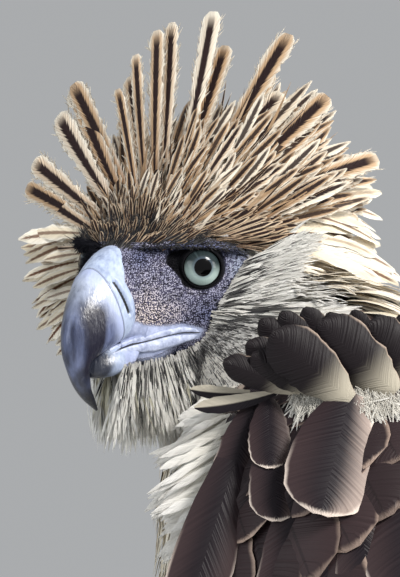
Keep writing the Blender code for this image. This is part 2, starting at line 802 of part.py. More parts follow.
def make_tail(parent, feather):
    """Twelve tail feathers in layers under a short core with its coverts."""
    root, toward, _, _, (half, dorsal, ventral) = BODY.frame(0.0)
    back = Vector((0.0, math.sin(TAIL_SLOPE), math.cos(TAIL_SLOPE)))
    along = Vector((0.0, math.cos(TAIL_SLOPE), -math.sin(TAIL_SLOPE)))
    side = Vector((1.0, 0.0, 0.0))
    start = root - toward * GAP
    core_length = 0.085
    rings = [BODY.ring(0.0, BODY_SIDES)]
    rings[0] = [point - toward * GAP for point in rings[0]]
    for share in (0.35, 0.7, 1.0):
        centre = start + along * (core_length * share)
        tall = dorsal + (0.010 - dorsal) * share
        wide = half + (0.034 - half) * share
        rings.append([
            centre + side * (wide * math.cos(turn)) + back * (tall * math.sin(turn))
            for turn in (math.tau * step / BODY_SIDES for step in range(BODY_SIDES))
        ])
    tail = skin_rings("tail", rings, feather)
    vanes = []
    for index in range(TAIL_FEATHERS):
        number = index - 0.5 * (TAIL_FEATHERS - 1)
        layer = abs(number) + (0.5 if number < 0 else 0.0)
        turn = TAIL_FAN * number
        direction = along * math.cos(turn) + side * math.sin(turn)
        quill = start + along * 0.045 + side * (0.0040 * number) + back * (0.005 - TAIL_LAYER * layer)
        face = back - side * (0.05 * math.copysign(1.0, number))
        length = TAIL_LENGTH - 0.045 - 0.0035 * abs(number)
        vanes.append(free_vane(quill, direction, face, length, TAIL_FEATHER_WIDTH, feather, bend=0.010))
    for over, count, length in ((1, 3, 0.085), (-1, 3, 0.105)):
        for index in range(count):
            share = 2.0 * index / (count - 1) - 1.0
            centre = start + along * 0.035 + side * (0.026 * share) + back * (over * 0.014)
            direction = along + side * (0.10 * share) + back * (0.06 * over)
            vanes.append(free_vane(centre, direction, back * over, length, 0.032, feather, outline=SHORT))
    fuse(tail, vanes)
    return finish(tail, parent, feather)


THIGH = Tube([
    (0.066, FOOT_CENTRE.y + 0.034, 0.172, 0.0150, 0.0150, 0.0150),
    (0.067, FOOT_CENTRE.y + 0.030, 0.196, 0.0240, 0.0260, 0.0240),
    (0.068, FOOT_CENTRE.y + 0.020, 0.245, 0.0330, 0.0420, 0.0380),
    (0.064, FOOT_CENTRE.y + 0.008, 0.300, 0.0360, 0.0540, 0.0500),
    (0.052, FOOT_CENTRE.y, 0.355, 0.0350, 0.0560, 0.0560),
    (0.040, FOOT_CENTRE.y + 0.005, 0.405, 0.0320, 0.0440, 0.0440),
])
THIGH_ROWS = (
    (0.34, 6, 0.062, 0.036, 0.0065),
    (0.58, 6, 0.068, 0.044, 0.0065),
)


def make_thigh(name, parent, feather):
    thigh = THIGH.solid(name, 0.0, 1.0, 6, 14, feather)
    vanes = []
    for row, (place, count, length, width, lift) in enumerate(THIGH_ROWS):
        for index in range(count):
            angle = math.tau * (index + 0.5 * row) / count
            vanes.append(laid_vane(THIGH, place, angle, length, width, feather, lift, roll=0.10,
                                   outline=STUB))
    fuse(thigh, vanes)
    carve(thigh, torso_core("clearance", feather, height=INFLATE))
    return finish(thigh, parent, feather)


SHANK = Tube([
    (FOOT_CENTRE.x, FOOT_CENTRE.y + 0.004, 0.0240, 0.0105, 0.0115, 0.0115, 12.5),
    (FOOT_CENTRE.x, FOOT_CENTRE.y + 0.008, 0.0420, 0.0092, 0.0100, 0.0100),
    (FOOT_CENTRE.x + 0.001, FOOT_CENTRE.y + 0.018, 0.0850, 0.0088, 0.0098, 0.0098),
    (FOOT_CENTRE.x + 0.001, FOOT_CENTRE.y + 0.030, 0.1300, 0.0098, 0.0112, 0.0112),
    (FOOT_CENTRE.x + 0.001, FOOT_CENTRE.y + ANKLE_BEHIND, 0.1520, 0.0125, 0.0145, 0.0135),
    (FOOT_CENTRE.x + 0.001, FOOT_CENTRE.y + 0.034, 0.1680, 0.0105, 0.0115, 0.0115),
])
SHANK_SCUTES = 6


def scute(tube, place, angle, span, depth, raised, material):
    """One overlapping plate, raised on a tube across an arc of it."""
    sections = []
    for share in (-1.0, 0.0, 1.0):
        here = angle + span * share
        low = tube.point(place - depth, here, -0.0012)
        high = tube.point(place + depth, here, -0.0012)
        lip = tube.point(place - depth, here, raised * (1.0 if share == 0.0 else 0.6))
        top = tube.point(place + depth, here, 0.25 * raised)
        sections.append((low, lip, top, high))
    return vane_solid("scute", sections, material)


def make_shank(name, parent, skin):
    shank = SHANK.solid(name, 0.0, 1.0, 5, 10, skin)
    plates = []
    for index in range(SHANK_SCUTES):
        place = 0.16 + 0.62 * index / (SHANK_SCUTES - 1)
        plates.append(scute(SHANK, place, math.radians(-90.0), math.radians(48.0), 0.038, 0.0012, skin))
    fuse(shank, plates)
    return finish(shank, parent, skin)


# Toes: name, heading from straight ahead in degrees, length, radius, claw length
TOES = (
    ("inner", -24.0, 0.052, 0.0090, 0.040),
    ("middle", 4.0, 0.074, 0.0086, 0.036),
    ("outer", 38.0, 0.056, 0.0078, 0.030),
    ("hind", 172.0, 0.042, 0.0092, 0.045),
)
TOE_SIDES = 8
CLAW_SIDES = 6
TOE_LIFT = 0.0022


def flat_sole(point, level=0.0):
    """Keep a point off the floor."""
    return Vector((point.x, point.y, max(point.z, level)))


def toe_heading(heading):
    """The way a left toe points along the floor."""
    turn = math.radians(heading)
    return Vector((math.sin(turn), -math.cos(turn), 0.0))


def toe_solid(heading, length, radius, material):
    """One toe with its knuckles, flat under its pads, that ends in an upright face."""
    forward = toe_heading(heading)
    across = Vector((forward.y, -forward.x, 0.0))
    rings = []
    shares = (0.0, 0.34, 0.47, 0.60, 0.74, 0.88, 1.0)
    swell = (1.04, 1.04, 1.00, 0.90, 1.04, 1.00, 0.74)
    lifts = (1.0 + 0.1 * radius / TOE_RADIUS, 0.0, 0.0, 0.15, 0.0, 0.0, 0.5)
    for share, size, lift in zip(shares, swell, lifts):
        level = lift * TOE_LIFT
        centre = FOOT_CENTRE + forward * (length * share) + Vector((0.0, 0.0, 0.70 * radius * size + level))
        ring = oval(centre, Vector((0.0, 0.0, radius * size)), across * (radius * size), TOE_SIDES)
        rings.append([flat_sole(point, level) for point in ring])
    return skin_rings("toe", rings, material)


def toe_scutes(heading, length, radius, material):
    """Plates across the top of a toe."""
    forward = toe_heading(heading)
    across = Vector((forward.y, -forward.x, 0.0))
    plates = []
    for share in (0.66, 0.84):
        centre = FOOT_CENTRE + forward * (length * share) + Vector((0.0, 0.0, 0.70 * radius))
        sections = []
        for turn in (-0.85, 0.0, 0.85):
            outward = Vector((0.0, 0.0, 1.0)) * math.cos(turn) + across * math.sin(turn)
            back = centre - forward * 0.0030
            front = centre + forward * 0.0030
            sections.append((
                back + outward * (0.70 * radius),
                back + outward * (1.08 * radius),
                front + outward * (1.12 * radius),
                front + outward * (0.70 * radius),
            ))
        plates.append(vane_solid("scute", sections, material))
    return plates


def make_foot(name, parent, skin):
    palm = Tube([
        (FOOT_CENTRE.x, FOOT_CENTRE.y + 0.003, 0.0236, 0.0110, 0.0120, 0.0120),
        (FOOT_CENTRE.x, FOOT_CENTRE.y + 0.003, 0.0120, 0.0150, 0.0155, 0.0155),
        (FOOT_CENTRE.x, FOOT_CENTRE.y + 0.003, 0.0026, 0.0140, 0.0145, 0.0145),
    ])
    foot = palm.solid(name, 0.0, 1.0, 3, 10, skin)
    pieces = []
    for _, heading, length, radius, _ in TOES:
        pieces.append(toe_solid(heading, length, radius, skin))
        pieces += toe_scutes(heading, length, radius, skin)
    fuse(foot, pieces)
    return finish(foot, parent, skin)


def make_claw(name, toe, parent, horn):
    """A curved claw that starts face to face with its toe and ends just above the floor."""
    _, heading, length, radius, reach = toe
    forward = toe_heading(heading)
    across = Vector((forward.y, -forward.x, 0.0))
    start = FOOT_CENTRE + forward * (length + GAP) + Vector((0.0, 0.0, 0.58 * radius))
    rings = []
    steps = 5
    for step in range(steps + 1):
        share = step / steps
        turn = math.radians(-18.0 + 118.0 * share)
        bow = reach / 1.55
        centre = start + forward * (bow * (math.sin(turn) + math.sin(math.radians(18.0))))
        centre.z += bow * (math.cos(turn) - math.cos(math.radians(18.0)))
        thick = 0.64 * radius * (1.0 - share) ** 0.75 + 0.0004
        rise = Vector((0.0, 0.0, math.cos(turn))) + forward * math.sin(turn)
        if step == 0:
            rise = Vector((0.0, 0.0, 1.0))
        rings.append(oval(centre, rise * thick, across * (0.8 * thick), CLAW_SIDES))
    lowest = min(point.z for ring in rings for point in ring)
    if lowest < 0.0005:
        room = start.z - 0.0006
        drop = start.z - lowest
        for ring in rings:
            for point in ring:
                if point.z < start.z - 0.55 * radius:
                    below = start.z - point.z
                    point.z = start.z - below * room / drop
    claw = skin_rings(name, rings, horn)
    return finish(claw, parent, horn)


def make_eagle():
    clear_scene()
    brown = paint("dark_brown_feathers", BROWN, 0.75)
    cream = paint("cream_feathers", CREAM, 0.8)
    white = paint("white_feathers", WHITE, 0.8)
    bill_horn = paint("blue_grey_bill", BILL_BLUE, 0.35)
    iris = paint("pale_blue_iris", IRIS_BLUE, 0.1)
    scales = paint("yellow_scales", LEG_YELLOW, 0.55)
    claw_horn = paint("black_claws", CLAW_BLACK, 0.3)

    stance = bpy.data.objects.new("stance", None)
    bpy.context.scene.collection.objects.link(stance)
    head_empty = bpy.data.objects.new("head_turn", None)
    bpy.context.scene.collection.objects.link(head_empty)
    head_empty.location = HEAD_PLACE
    head_empty.rotation_euler = (0.0, 0.0, HEAD_YAW)
    bpy.context.view_layer.update()

    make_head(head_empty, cream, cream)
    make_bill(head_empty, bill_horn)
    make_eyes(head_empty, iris)
    make_neck(stance, head_empty, white)
    make_torso(stance, brown)
    make_tail(stance, brown)
    left = [
        make_wing("wing_left", stance, brown),
        make_thigh("thigh_left", stance, white),
        make_shank("shank_left", stance, scales),
        make_foot("foot_left", stance, scales),
    ]
    left += [make_claw("claw_" + toe[0] + "_left", toe, stance, claw_horn) for toe in TOES]
    for limb in left:
        mirrored(limb.name.replace("left", "right"), limb, stance)
    head_empty.parent = stance
    centre_on_floor(stance)


def centre_on_floor(stance):
    """Move the whole bird so that the middle of its box is over the origin and its soles are at 0."""
    bpy.context.view_layer.update()
    corners = []
    for item in bpy.data.objects:
        if item.type == "MESH":
            corners += [item.matrix_world @ vertex.co for vertex in item.data.vertices]
    middle_x = 0.5 * (min(point.x for point in corners) + max(point.x for point in corners))
    middle_y = 0.5 * (min(point.y for point in corners) + max(point.y for point in corners))
    lowest = min(point.z for point in corners)
    stance.location = (-middle_x, -middle_y, -lowest)
    bpy.context.view_layer.update()


make_eagle()
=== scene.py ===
"""The looks of a Philippine eagle: its skin, bill, eyes, feathers, legs and claws over the solids."""

# %% [markdown]
# The solids of the bird are already built, and they set every size here. A scene could copy them
# and paint them, but feathers need far more detail than a solid has. So this file loads the solids
# as a frame, repeats the few lines of numbers that they grew from, and grows skin and plumage again
# on the same curves, finer and denser.

import math

import bpy
import numpy as np
from mathutils import Matrix, Vector
from mathutils.bvhtree import BVHTree


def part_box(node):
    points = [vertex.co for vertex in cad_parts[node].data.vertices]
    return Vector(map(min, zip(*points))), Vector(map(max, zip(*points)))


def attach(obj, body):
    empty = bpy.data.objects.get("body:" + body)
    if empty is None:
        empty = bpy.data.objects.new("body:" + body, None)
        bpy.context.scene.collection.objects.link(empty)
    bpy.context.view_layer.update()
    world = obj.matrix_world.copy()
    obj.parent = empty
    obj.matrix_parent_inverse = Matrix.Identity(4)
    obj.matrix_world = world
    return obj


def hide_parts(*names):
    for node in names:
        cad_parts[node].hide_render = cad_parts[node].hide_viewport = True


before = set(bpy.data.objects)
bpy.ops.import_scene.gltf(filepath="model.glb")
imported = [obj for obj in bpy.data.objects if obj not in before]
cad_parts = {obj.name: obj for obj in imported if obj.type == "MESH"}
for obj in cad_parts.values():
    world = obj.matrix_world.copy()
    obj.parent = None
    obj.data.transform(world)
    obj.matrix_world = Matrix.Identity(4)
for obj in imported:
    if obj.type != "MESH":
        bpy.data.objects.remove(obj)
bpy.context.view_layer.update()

# %% [markdown]
# A body, a skull or a leg is a rounded tube whose middle line and girth change along it. It could
# be sculpted by hand, but a tube through named stations can be asked for any point on its surface,
# and that is what a feather needs in order to grow from it and lie along it. The class works on
# whole arrays of places at once, because there are thousands of feathers.


# %% A tube that can be asked for points on its surface
def unit(vectors):
    return vectors / np.maximum(np.linalg.norm(vectors, axis=-1, keepdims=True), 1e-12)


class Tube:
    """A surface through stations of x, y, z, half-width, back height, front height and lean.

    Place runs from 0 to 1 along it. The angle is 0 at the bird's left and 90 degrees on the back.
    """

    def __init__(self, stations, turn=None, move=(0.0, 0.0, 0.0)):
        self.rows = np.array([tuple(row) + (0.0,) * (7 - len(row)) for row in stations])
        self.length = np.linalg.norm(np.diff(self.rows[:, :3], axis=0), axis=1).sum()
        self.turn = np.eye(3) if turn is None else np.array(turn)
        self.move = np.array(move)

    def row(self, place):
        """The stations' numbers on a smooth curve at each place."""
        scaled = np.clip(place, 0.0, 1.0) * (len(self.rows) - 1)
        index = np.minimum(scaled.astype(int), len(self.rows) - 2)
        t = (scaled - index)[..., None]
        before = self.rows[np.maximum(index - 1, 0)]
        start = self.rows[index]
        end = self.rows[index + 1]
        after = self.rows[np.minimum(index + 2, len(self.rows) - 1)]
        slope_start = 0.5 * (end - before)
        slope_end = 0.5 * (after - start)
        near = (2.0 * t**3 - 3.0 * t**2 + 1.0) * start + (t**3 - 2.0 * t**2 + t) * slope_start
        return near + (3.0 * t**2 - 2.0 * t**3) * end + (t**3 - t**2) * slope_end

    def frame(self, place):
        row = self.row(place)
        step = 0.01
        ahead = self.row(np.minimum(place + step, 1.0))[..., :3]
        behind = self.row(np.maximum(place - step, 0.0))[..., :3]
        along = unit(ahead - behind)
        side = unit(np.array([1.0, 0.0, 0.0]) - along * along[..., :1])
        lean = np.radians(row[..., 6:7])
        along = along * np.cos(lean) + np.cross(side, along) * np.sin(lean)
        return row[..., :3], along, side, np.cross(along, side), row[..., 3:6]

    def at(self, place, angle, height=0.0):
        """Points at a height over the surface, the way out there, and the way towards place 1."""
        place, angle = np.broadcast_arrays(np.asarray(place, float), np.asarray(angle, float))
        centre, along, side, back, radii = self.frame(place)
        across = np.cos(angle)[..., None]
        up = np.sin(angle)[..., None]
        half = radii[..., 0:1]
        tall = np.where(up > 0.0, radii[..., 1:2], radii[..., 2:3])
        outward = unit(side * (across / half) + back * (up / tall))
        height = np.asarray(height, float)
        height = height[..., None] if height.ndim else height
        point = centre + side * (half * across) + back * (tall * up) + outward * height
        return point @ self.turn.T + self.move, outward @ self.turn.T, along @ self.turn.T


print("tube ready")

# %% [markdown]
# These stations are the solids' own. The whole bird was moved once to stand over the origin, and
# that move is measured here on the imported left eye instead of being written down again.

# %% The bird's stations
EYE_CENTRE = np.array([0.0222, 0.0012, 0.0])
EYE_RADIUS = 0.0110
EYE_AXIS_YAW = math.radians(42.0)
HEAD_PLACE = np.array([0.031, -0.093, 0.715])
HEAD_YAW = math.radians(75.0)
HEAD_TURN = np.array(Matrix.Rotation(HEAD_YAW, 3, "Z"))

low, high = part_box("eye_left")
SHIFT = np.array((low + high) / 2.0) - (HEAD_TURN @ EYE_CENTRE + HEAD_PLACE)
HEAD_ORIGIN = HEAD_PLACE + SHIFT


def to_head(points):
    """Points of the bird in the head's own frame, from the eyes' middle."""
    return (points - HEAD_ORIGIN) @ HEAD_TURN


def from_head(points):
    """Points in the head's frame (x to its left, -y forward, z up), set in the world."""
    return np.asarray(points, float) @ HEAD_TURN.T + HEAD_ORIGIN


SKULL = Tube(
    [
        (0.0, 0.0740, -0.0040, 0.010, 0.012, 0.012),
        (0.0, 0.0640, -0.0040, 0.028, 0.026, 0.027),
        (0.0, 0.0420, -0.0040, 0.0385, 0.036, 0.038),
        (0.0, 0.0160, -0.0040, 0.0380, 0.0345, 0.039),
        (0.0, 0.0000, -0.0060, 0.0305, 0.0300, 0.036, -13.0),
        (0.0, -0.0110, -0.0100, 0.0232, 0.0255, 0.031, -24.0),
        (0.0, -0.0190, -0.0130, 0.0190, 0.0250, 0.028, -27.0),
        (0.0, -0.0245, -0.0145, 0.0170, 0.0250, 0.0255, -24.5),
    ],
    HEAD_TURN,
    HEAD_ORIGIN,
)
BODY = Tube(
    [
        (0.0, 0.186, 0.326, 0.040, 0.028, 0.030),
        (0.0, 0.140, 0.378, 0.066, 0.050, 0.060),
        (0.0, 0.088, 0.440, 0.088, 0.068, 0.086),
        (0.0, 0.046, 0.505, 0.099, 0.080, 0.097),
        (0.0, 0.012, 0.568, 0.097, 0.082, 0.097),
        (0.0, -0.016, 0.622, 0.084, 0.074, 0.084),
        (0.0, -0.040, 0.656, 0.064, 0.058, 0.064),
        (0.0, -0.062, 0.680, 0.044, 0.041, 0.045),
        (0.0, -0.080, 0.702, 0.032, 0.030, 0.032),
    ],
    move=SHIFT,
)
WING_LIE = Tube(
    [
        (0.0, 0.318, 0.170, 0.044, 0.032, 0.032),
        (0.0, 0.210, 0.288, 0.076, 0.056, 0.060),
        (0.0, 0.122, 0.392, 0.104, 0.086, 0.094),
        (0.0, 0.056, 0.496, 0.116, 0.097, 0.108),
        (0.0, 0.004, 0.598, 0.112, 0.095, 0.106),
        (0.0, -0.026, 0.650, 0.092, 0.078, 0.086),
        (0.0, -0.040, 0.682, 0.066, 0.060, 0.062),
    ],
    move=SHIFT,
)
FOOT = np.array([0.066, 0.056, 0.0])
THIGH = Tube(
    [
        (0.066, FOOT[1] + 0.034, 0.172, 0.0150, 0.0150, 0.0150),
        (0.067, FOOT[1] + 0.030, 0.196, 0.0240, 0.0260, 0.0240),
        (0.068, FOOT[1] + 0.020, 0.245, 0.0330, 0.0420, 0.0380),
        (0.064, FOOT[1] + 0.008, 0.300, 0.0360, 0.0540, 0.0500),
        (0.052, FOOT[1], 0.355, 0.0350, 0.0560, 0.0560),
        (0.040, FOOT[1] + 0.005, 0.405, 0.0320, 0.0440, 0.0440),
    ],
    move=SHIFT,
)
SHANK = Tube(
    [
        (FOOT[0], FOOT[1] + 0.004, 0.0240, 0.0105, 0.0115, 0.0115, 12.5),
        (FOOT[0], FOOT[1] + 0.008, 0.0420, 0.0092, 0.0100, 0.0100),
        (FOOT[0] + 0.001, FOOT[1] + 0.018, 0.0850, 0.0088, 0.0098, 0.0098),
        (FOOT[0] + 0.001, FOOT[1] + 0.030, 0.1300, 0.0098, 0.0112, 0.0112),
        (FOOT[0] + 0.001, FOOT[1] + 0.036, 0.1520, 0.0125, 0.0145, 0.0135),
        (FOOT[0] + 0.001, FOOT[1] + 0.034, 0.1680, 0.0105, 0.0115, 0.0115),
    ],
    move=SHIFT,
)
print("the bird was moved by", SHIFT.round(5))

# %% [markdown]
# Every colour on the bird follows a rule, such as a dark streak down a feather's middle. In a
# shader that is arithmetic, and a Math node for each sign soon hides the rule. A small class holds
# one socket and turns Python's own operators into nodes, so the rule stays readable. One method
# makes any other node: its type, its settings, and the values or links of its sockets.


# %% Shader arithmetic
class Shade:
    """A socket in a node tree, for use in expressions."""

    def __init__(self, tree, socket=None):
        self.tree = tree
        self.socket = socket

    def node(self, kind, sockets=None, output=0, **settings):
        made = self.tree.nodes.new(kind)
        stops = settings.pop("stops", None)
        for name, value in settings.items():
            setattr(made, name, value)
        if stops:
            ramp = made.color_ramp.elements
            while len(ramp) < len(stops):
                ramp.new(1.0)
            for element, (position, colour) in zip(ramp, stops):
                element.position = position
                element.color = (*colour, 1.0)
        for name, value in (sockets or {}).items():
            if isinstance(value, Shade):
                self.tree.links.new(value.socket, made.inputs[name])
            else:
                made.inputs[name].default_value = value
        return Shade(self.tree, made.outputs[output])

    def maths(self, operation, *values, clamp=False):
        return self.node("ShaderNodeMath", dict(enumerate(values)), operation=operation, use_clamp=clamp)

    def __add__(self, other):
        return self.maths("ADD", self, other)

    __radd__ = __add__

    def __mul__(self, other):
        return self.maths("MULTIPLY", self, other)

    __rmul__ = __mul__

    def __sub__(self, other):
        return self.maths("SUBTRACT", self, other)

    def __rsub__(self, other):
        return self.maths("SUBTRACT", other, self)

    def __abs__(self):
        return self.maths("ABSOLUTE", self)

    def __pow__(self, power):
        return self.maths("POWER", self, power)

    def top(self, other):
        return self.maths("MAXIMUM", self, other)

    def rise(self, start, end):
        """0 below start and 1 beyond end, with a soft step between."""
        return self.node(
            "ShaderNodeMapRange", {"Value": self, "From Min": start, "From Max": end},
            interpolation_type="SMOOTHSTEP",
        )

    def mix(self, off, on):
        """The colour off where this is 0 and the colour on where it is 1."""
        sides = {0: self}
        for index, colour in ((6, off), (7, on)):
            sides[index] = colour if isinstance(colour, Shade) else (*colour, 1.0)
        return self.node("ShaderNodeMix", sides, output=2, data_type="RGBA", clamp_factor=True)

    def attribute(self, name):
        return self.node("ShaderNodeAttribute", output=2, attribute_name=name)

    def place(self):
        """Where a point lies in the object's own space."""
        return self.node("ShaderNodeTexCoord", output=3)

    def pebbles(self, scale):
        """The distance to the middle of the nearest pebble of a rather even pattern."""
        return self.node("ShaderNodeTexVoronoi", {"Vector": self.place(), "Scale": scale, "Randomness": 0.75})

    def times(self, colour, factor):
        """One colour darkened or lightened by another."""
        sides = {0: 1.0, 6: colour, 7: factor}
        return self.node("ShaderNodeMix", sides, output=2, data_type="RGBA", blend_type="MULTIPLY")

    def noise(self, scale, detail=2.0, stretch=None):
        """Fine mottling in the object's own space, as a number about 0.5."""
        place = self.place()
        if stretch:
            place = self.node("ShaderNodeVectorMath", {0: place, 1: stretch}, operation="MULTIPLY")
        return self.node("ShaderNodeTexNoise", {"Vector": place, "Scale": scale, "Detail": detail})


def finish_of(name, roughness, coat=0.0, sheen=0.0, specular=0.5):
    """A new Principled material, as its tree and its shader."""
    material = bpy.data.materials.new(name)
    material.use_nodes = True
    shader = material.node_tree.nodes["Principled BSDF"]
    shader.inputs["Roughness"].default_value = roughness
    shader.inputs["Coat Weight"].default_value = coat
    shader.inputs["Coat Roughness"].default_value = 0.08
    shader.inputs["Sheen Weight"].default_value = sheen
    shader.inputs["Specular IOR Level"].default_value = specular
    shader.inputs["Sheen Roughness"].default_value = 0.4
    return material, Shade(material.node_tree), shader


def wire(shade, shader, socket):
    """Lead a worked-out value into one of the shader's sockets."""
    shade.tree.links.new(shade.socket, shader.inputs[socket])


def bump(height, shader, depth):
    """Raise the surface by a worked-out height, in metres."""
    raised = height.node("ShaderNodeBump", {"Height": height, "Distance": depth, "Strength": 1.0})
    wire(raised, shader, "Normal")


print("shader arithmetic ready")

# %% [markdown]
# A feather is a thin vane on a central shaft. Hair strands would be lighter to place but can't be
# exported, and one flat card with a picture would look flat from the side. So each feather is a
# small grid of faces, cupped across and bent along, and it carries three numbers per point: how far
# across it is from the shaft, how far along towards the tip, and a tone of its own. Its colour is
# worked out from these. On the bake map each feather has its own small cell, and the cells are
# sorted by where the feathers' roots lie on the skin, so that no two share their colours.


# %% A coat: many small grids in one mesh
def grid_quads(count, rows, columns):
    """Corner numbers of the faces of many grids of rows by columns points."""
    corner = np.arange(rows * columns).reshape(rows, columns)
    face = np.stack([corner[:-1, :-1], corner[:-1, 1:], corner[1:, 1:], corner[1:, :-1]], axis=-1)
    face = face.reshape(-1, 4)
    return (face[None] + np.arange(count)[:, None, None] * rows * columns).reshape(-1, 4)


def mesh_piece(name, points, quads, material, numbers, layout):
    """One object from points, faces of four corners, numbers per point and places on the bake map."""
    mesh = bpy.data.meshes.new(name)
    mesh.vertices.add(len(points))
    mesh.vertices.foreach_set("co", points.astype(np.float32).ravel())
    mesh.loops.add(quads.size)
    mesh.loops.foreach_set("vertex_index", quads.astype(np.int32).ravel())
    mesh.polygons.add(len(quads))
    mesh.polygons.foreach_set("loop_start", np.arange(0, quads.size, 4, dtype=np.int32))
    mesh.update(calc_edges=True)
    for key, values in numbers.items():
        column = mesh.attributes.new(key, "FLOAT", "POINT")
        column.data.foreach_set("value", values.astype(np.float32).ravel())
    places = mesh.uv_layers.new(name="OFBake")
    places.data.foreach_set("uv", layout.astype(np.float32)[quads.ravel()].ravel())
    mesh.shade_smooth()
    mesh.materials.append(material)
    item = bpy.data.objects.new(name, mesh)
    bpy.context.scene.collection.objects.link(item)
    return item


def sheet(name, points, material, numbers, u, v, flip=False):
    """One grid of points as a piece of its own, with u and v as its places on the bake map."""
    shape = points.shape[:2]
    layout = np.stack([np.broadcast_to(value, shape) for value in (u, v)], axis=-1)
    numbers = {key: np.broadcast_to(values, shape) for key, values in numbers.items()}
    quads = grid_quads(1, *shape)
    quads = quads[:, ::-1] if flip else quads
    return mesh_piece(name, points.reshape(-1, 3), quads, material, numbers, layout.reshape(-1, 2))


FEWEST_CELLS = 3
CELL_FILL = 0.84


def map_cells(roots):
    """A cell of the bake map for each feather, in the order of the roots' rows and columns."""
    across = max(int(math.ceil(math.sqrt(len(roots)))), FEWEST_CELLS)
    order = np.argsort(roots[:, 1], kind="stable")
    cells = np.zeros((len(roots), 2))
    for row in range(across):
        line = order[row * across:(row + 1) * across]
        line = line[np.argsort(roots[line, 0], kind="stable")]
        cells[line, 0] = np.arange(len(line))
        cells[line, 1] = row
    return cells / across, CELL_FILL / across


class Coat:
    """Collects feathers and makes them one piece of the bird."""

    def __init__(self, name, material, slot):
        self.name = name
        self.material = material
        self.slot = slot
        self.batches = []
        self.count = 0

    def add(self, grids, across, tone, root_u, root_v, mark=0.0):
        """Feathers as an array of grids, with a tone, a mark and two numbers for the root's place of each."""
        count, rows, columns = grids.shape[:3]
        shape = (count, rows, columns)
        along = np.broadcast_to(np.linspace(0.0, 1.0, rows)[None, :, None], shape)
        numbers = {
            "across": np.broadcast_to(across, shape),
            "along": along,
            "tone": np.broadcast_to(np.asarray(tone, float).reshape(-1, 1, 1), shape),
            "mark": np.broadcast_to(np.asarray(mark, float).reshape(-1, 1, 1), shape),
        }
        roots = np.stack(np.broadcast_arrays(root_u, root_v, np.zeros(count))[:2], axis=-1)
        self.batches.append((grids, numbers, roots))
        self.count += count

    def make(self):
        cells, size = map_cells(np.concatenate([roots for _, _, roots in self.batches]))
        points, quads, layout, first, feather = [], [], [], 0, 0
        numbers = {"across": [], "along": [], "tone": [], "mark": []}
        for grids, columns_of, roots in self.batches:
            count, rows, columns = grids.shape[:3]
            points.append(grids.reshape(-1, 3))
            quads.append(grid_quads(count, rows, columns) + first)
            for key, values in columns_of.items():
                numbers[key].append(values.reshape(-1))
            span_u = np.linspace(0.0, size, columns)[None, None, :]
            span_v = np.linspace(0.0, size, rows)[None, :, None]
            corner = cells[feather:feather + count]
            u = np.broadcast_to(corner[:, 0, None, None] + span_u, (count, rows, columns))
            v = np.broadcast_to(corner[:, 1, None, None] + span_v, (count, rows, columns))
            layout.append(np.stack([u, v], axis=-1).reshape(-1, 2))
            first += count * rows * columns
            feather += count
        item = mesh_piece(
            self.name, np.concatenate(points), np.concatenate(quads), self.material,
            {key: np.concatenate(values) for key, values in numbers.items()}, np.concatenate(layout),
        )
        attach(item, "root")
        print(self.name, self.count, "feathers,", 2 * len(item.data.polygons), "triangles")
        return item


print("a coat's smallest map has", FEWEST_CELLS**2, "cells")

# %% [markdown]
# A feather lies along the body like a tile or stands off it like those of the crest. Each could be
# one object bent by a modifier, but there are tens of thousands. So two functions work out the
# points of many at once: one walks along a tube's surface, the other leaves its root freely. The
# outlines say how wide a feather is on its way from root to tip, and edges are left ragged by chance.

# %% Feathers that lie on a tube, and feathers that stand free
# Outlines: how wide a feather is at shares of its length
BROAD = ((0.0, 0.30), (0.15, 0.62), (0.35, 0.88), (0.60, 1.0), (0.80, 0.94), (0.92, 0.68), (1.0, 0.16))
BLADE = ((0.0, 0.34), (0.10, 0.62), (0.30, 0.86), (0.60, 1.0), (0.85, 0.93), (0.95, 0.68), (1.0, 0.20))
STRAP = ((0.0, 0.45), (0.12, 0.66), (0.40, 0.86), (0.75, 1.0), (0.92, 0.90), (0.97, 0.66), (1.0, 0.30))
SQUARE = ((0.0, 0.30), (0.12, 0.48), (0.40, 0.74), (0.75, 0.98), (0.93, 1.0), (0.975, 0.88), (1.0, 0.50))
LANCE = ((0.0, 0.34), (0.15, 0.55), (0.45, 0.88), (0.70, 1.0), (0.88, 0.72), (0.96, 0.42), (1.0, 0.12))
WISP = ((0.0, 0.45), (0.25, 0.90), (0.55, 1.0), (0.80, 0.66), (1.0, 0.08))
SOFT = {"outline": WISP, "rows": 6, "columns": 3, "cup": 0.1, "fray": 0.3, "droop": 0.04}
STRAND = {"outline": WISP, "columns": 2, "cup": 0.0, "fray": 0.0}
TORN_SHARE = 0.10


def kept(keep, *arrays):
    """The same choice out of several arrays."""
    return [array[keep] for array in arrays]


def widths_along(outline, steps):
    """An outline's widths at even steps from root to tip."""
    shares, sizes = zip(*outline)
    return np.interp(np.linspace(0.0, 1.0, steps), shares, sizes)


def ragged(chance, count, rows, columns, fray):
    """Factors on the width that leave the vane's edges uneven, as loose barbs do."""
    factors = np.ones((count, rows, columns))
    for edge in (0, -1):
        torn = chance.random((count, rows)) < TORN_SHARE
        factors[:, :, edge] += fray * (chance.uniform(-1.0, 0.8, (count, rows)) - 1.6 * torn)
    return factors


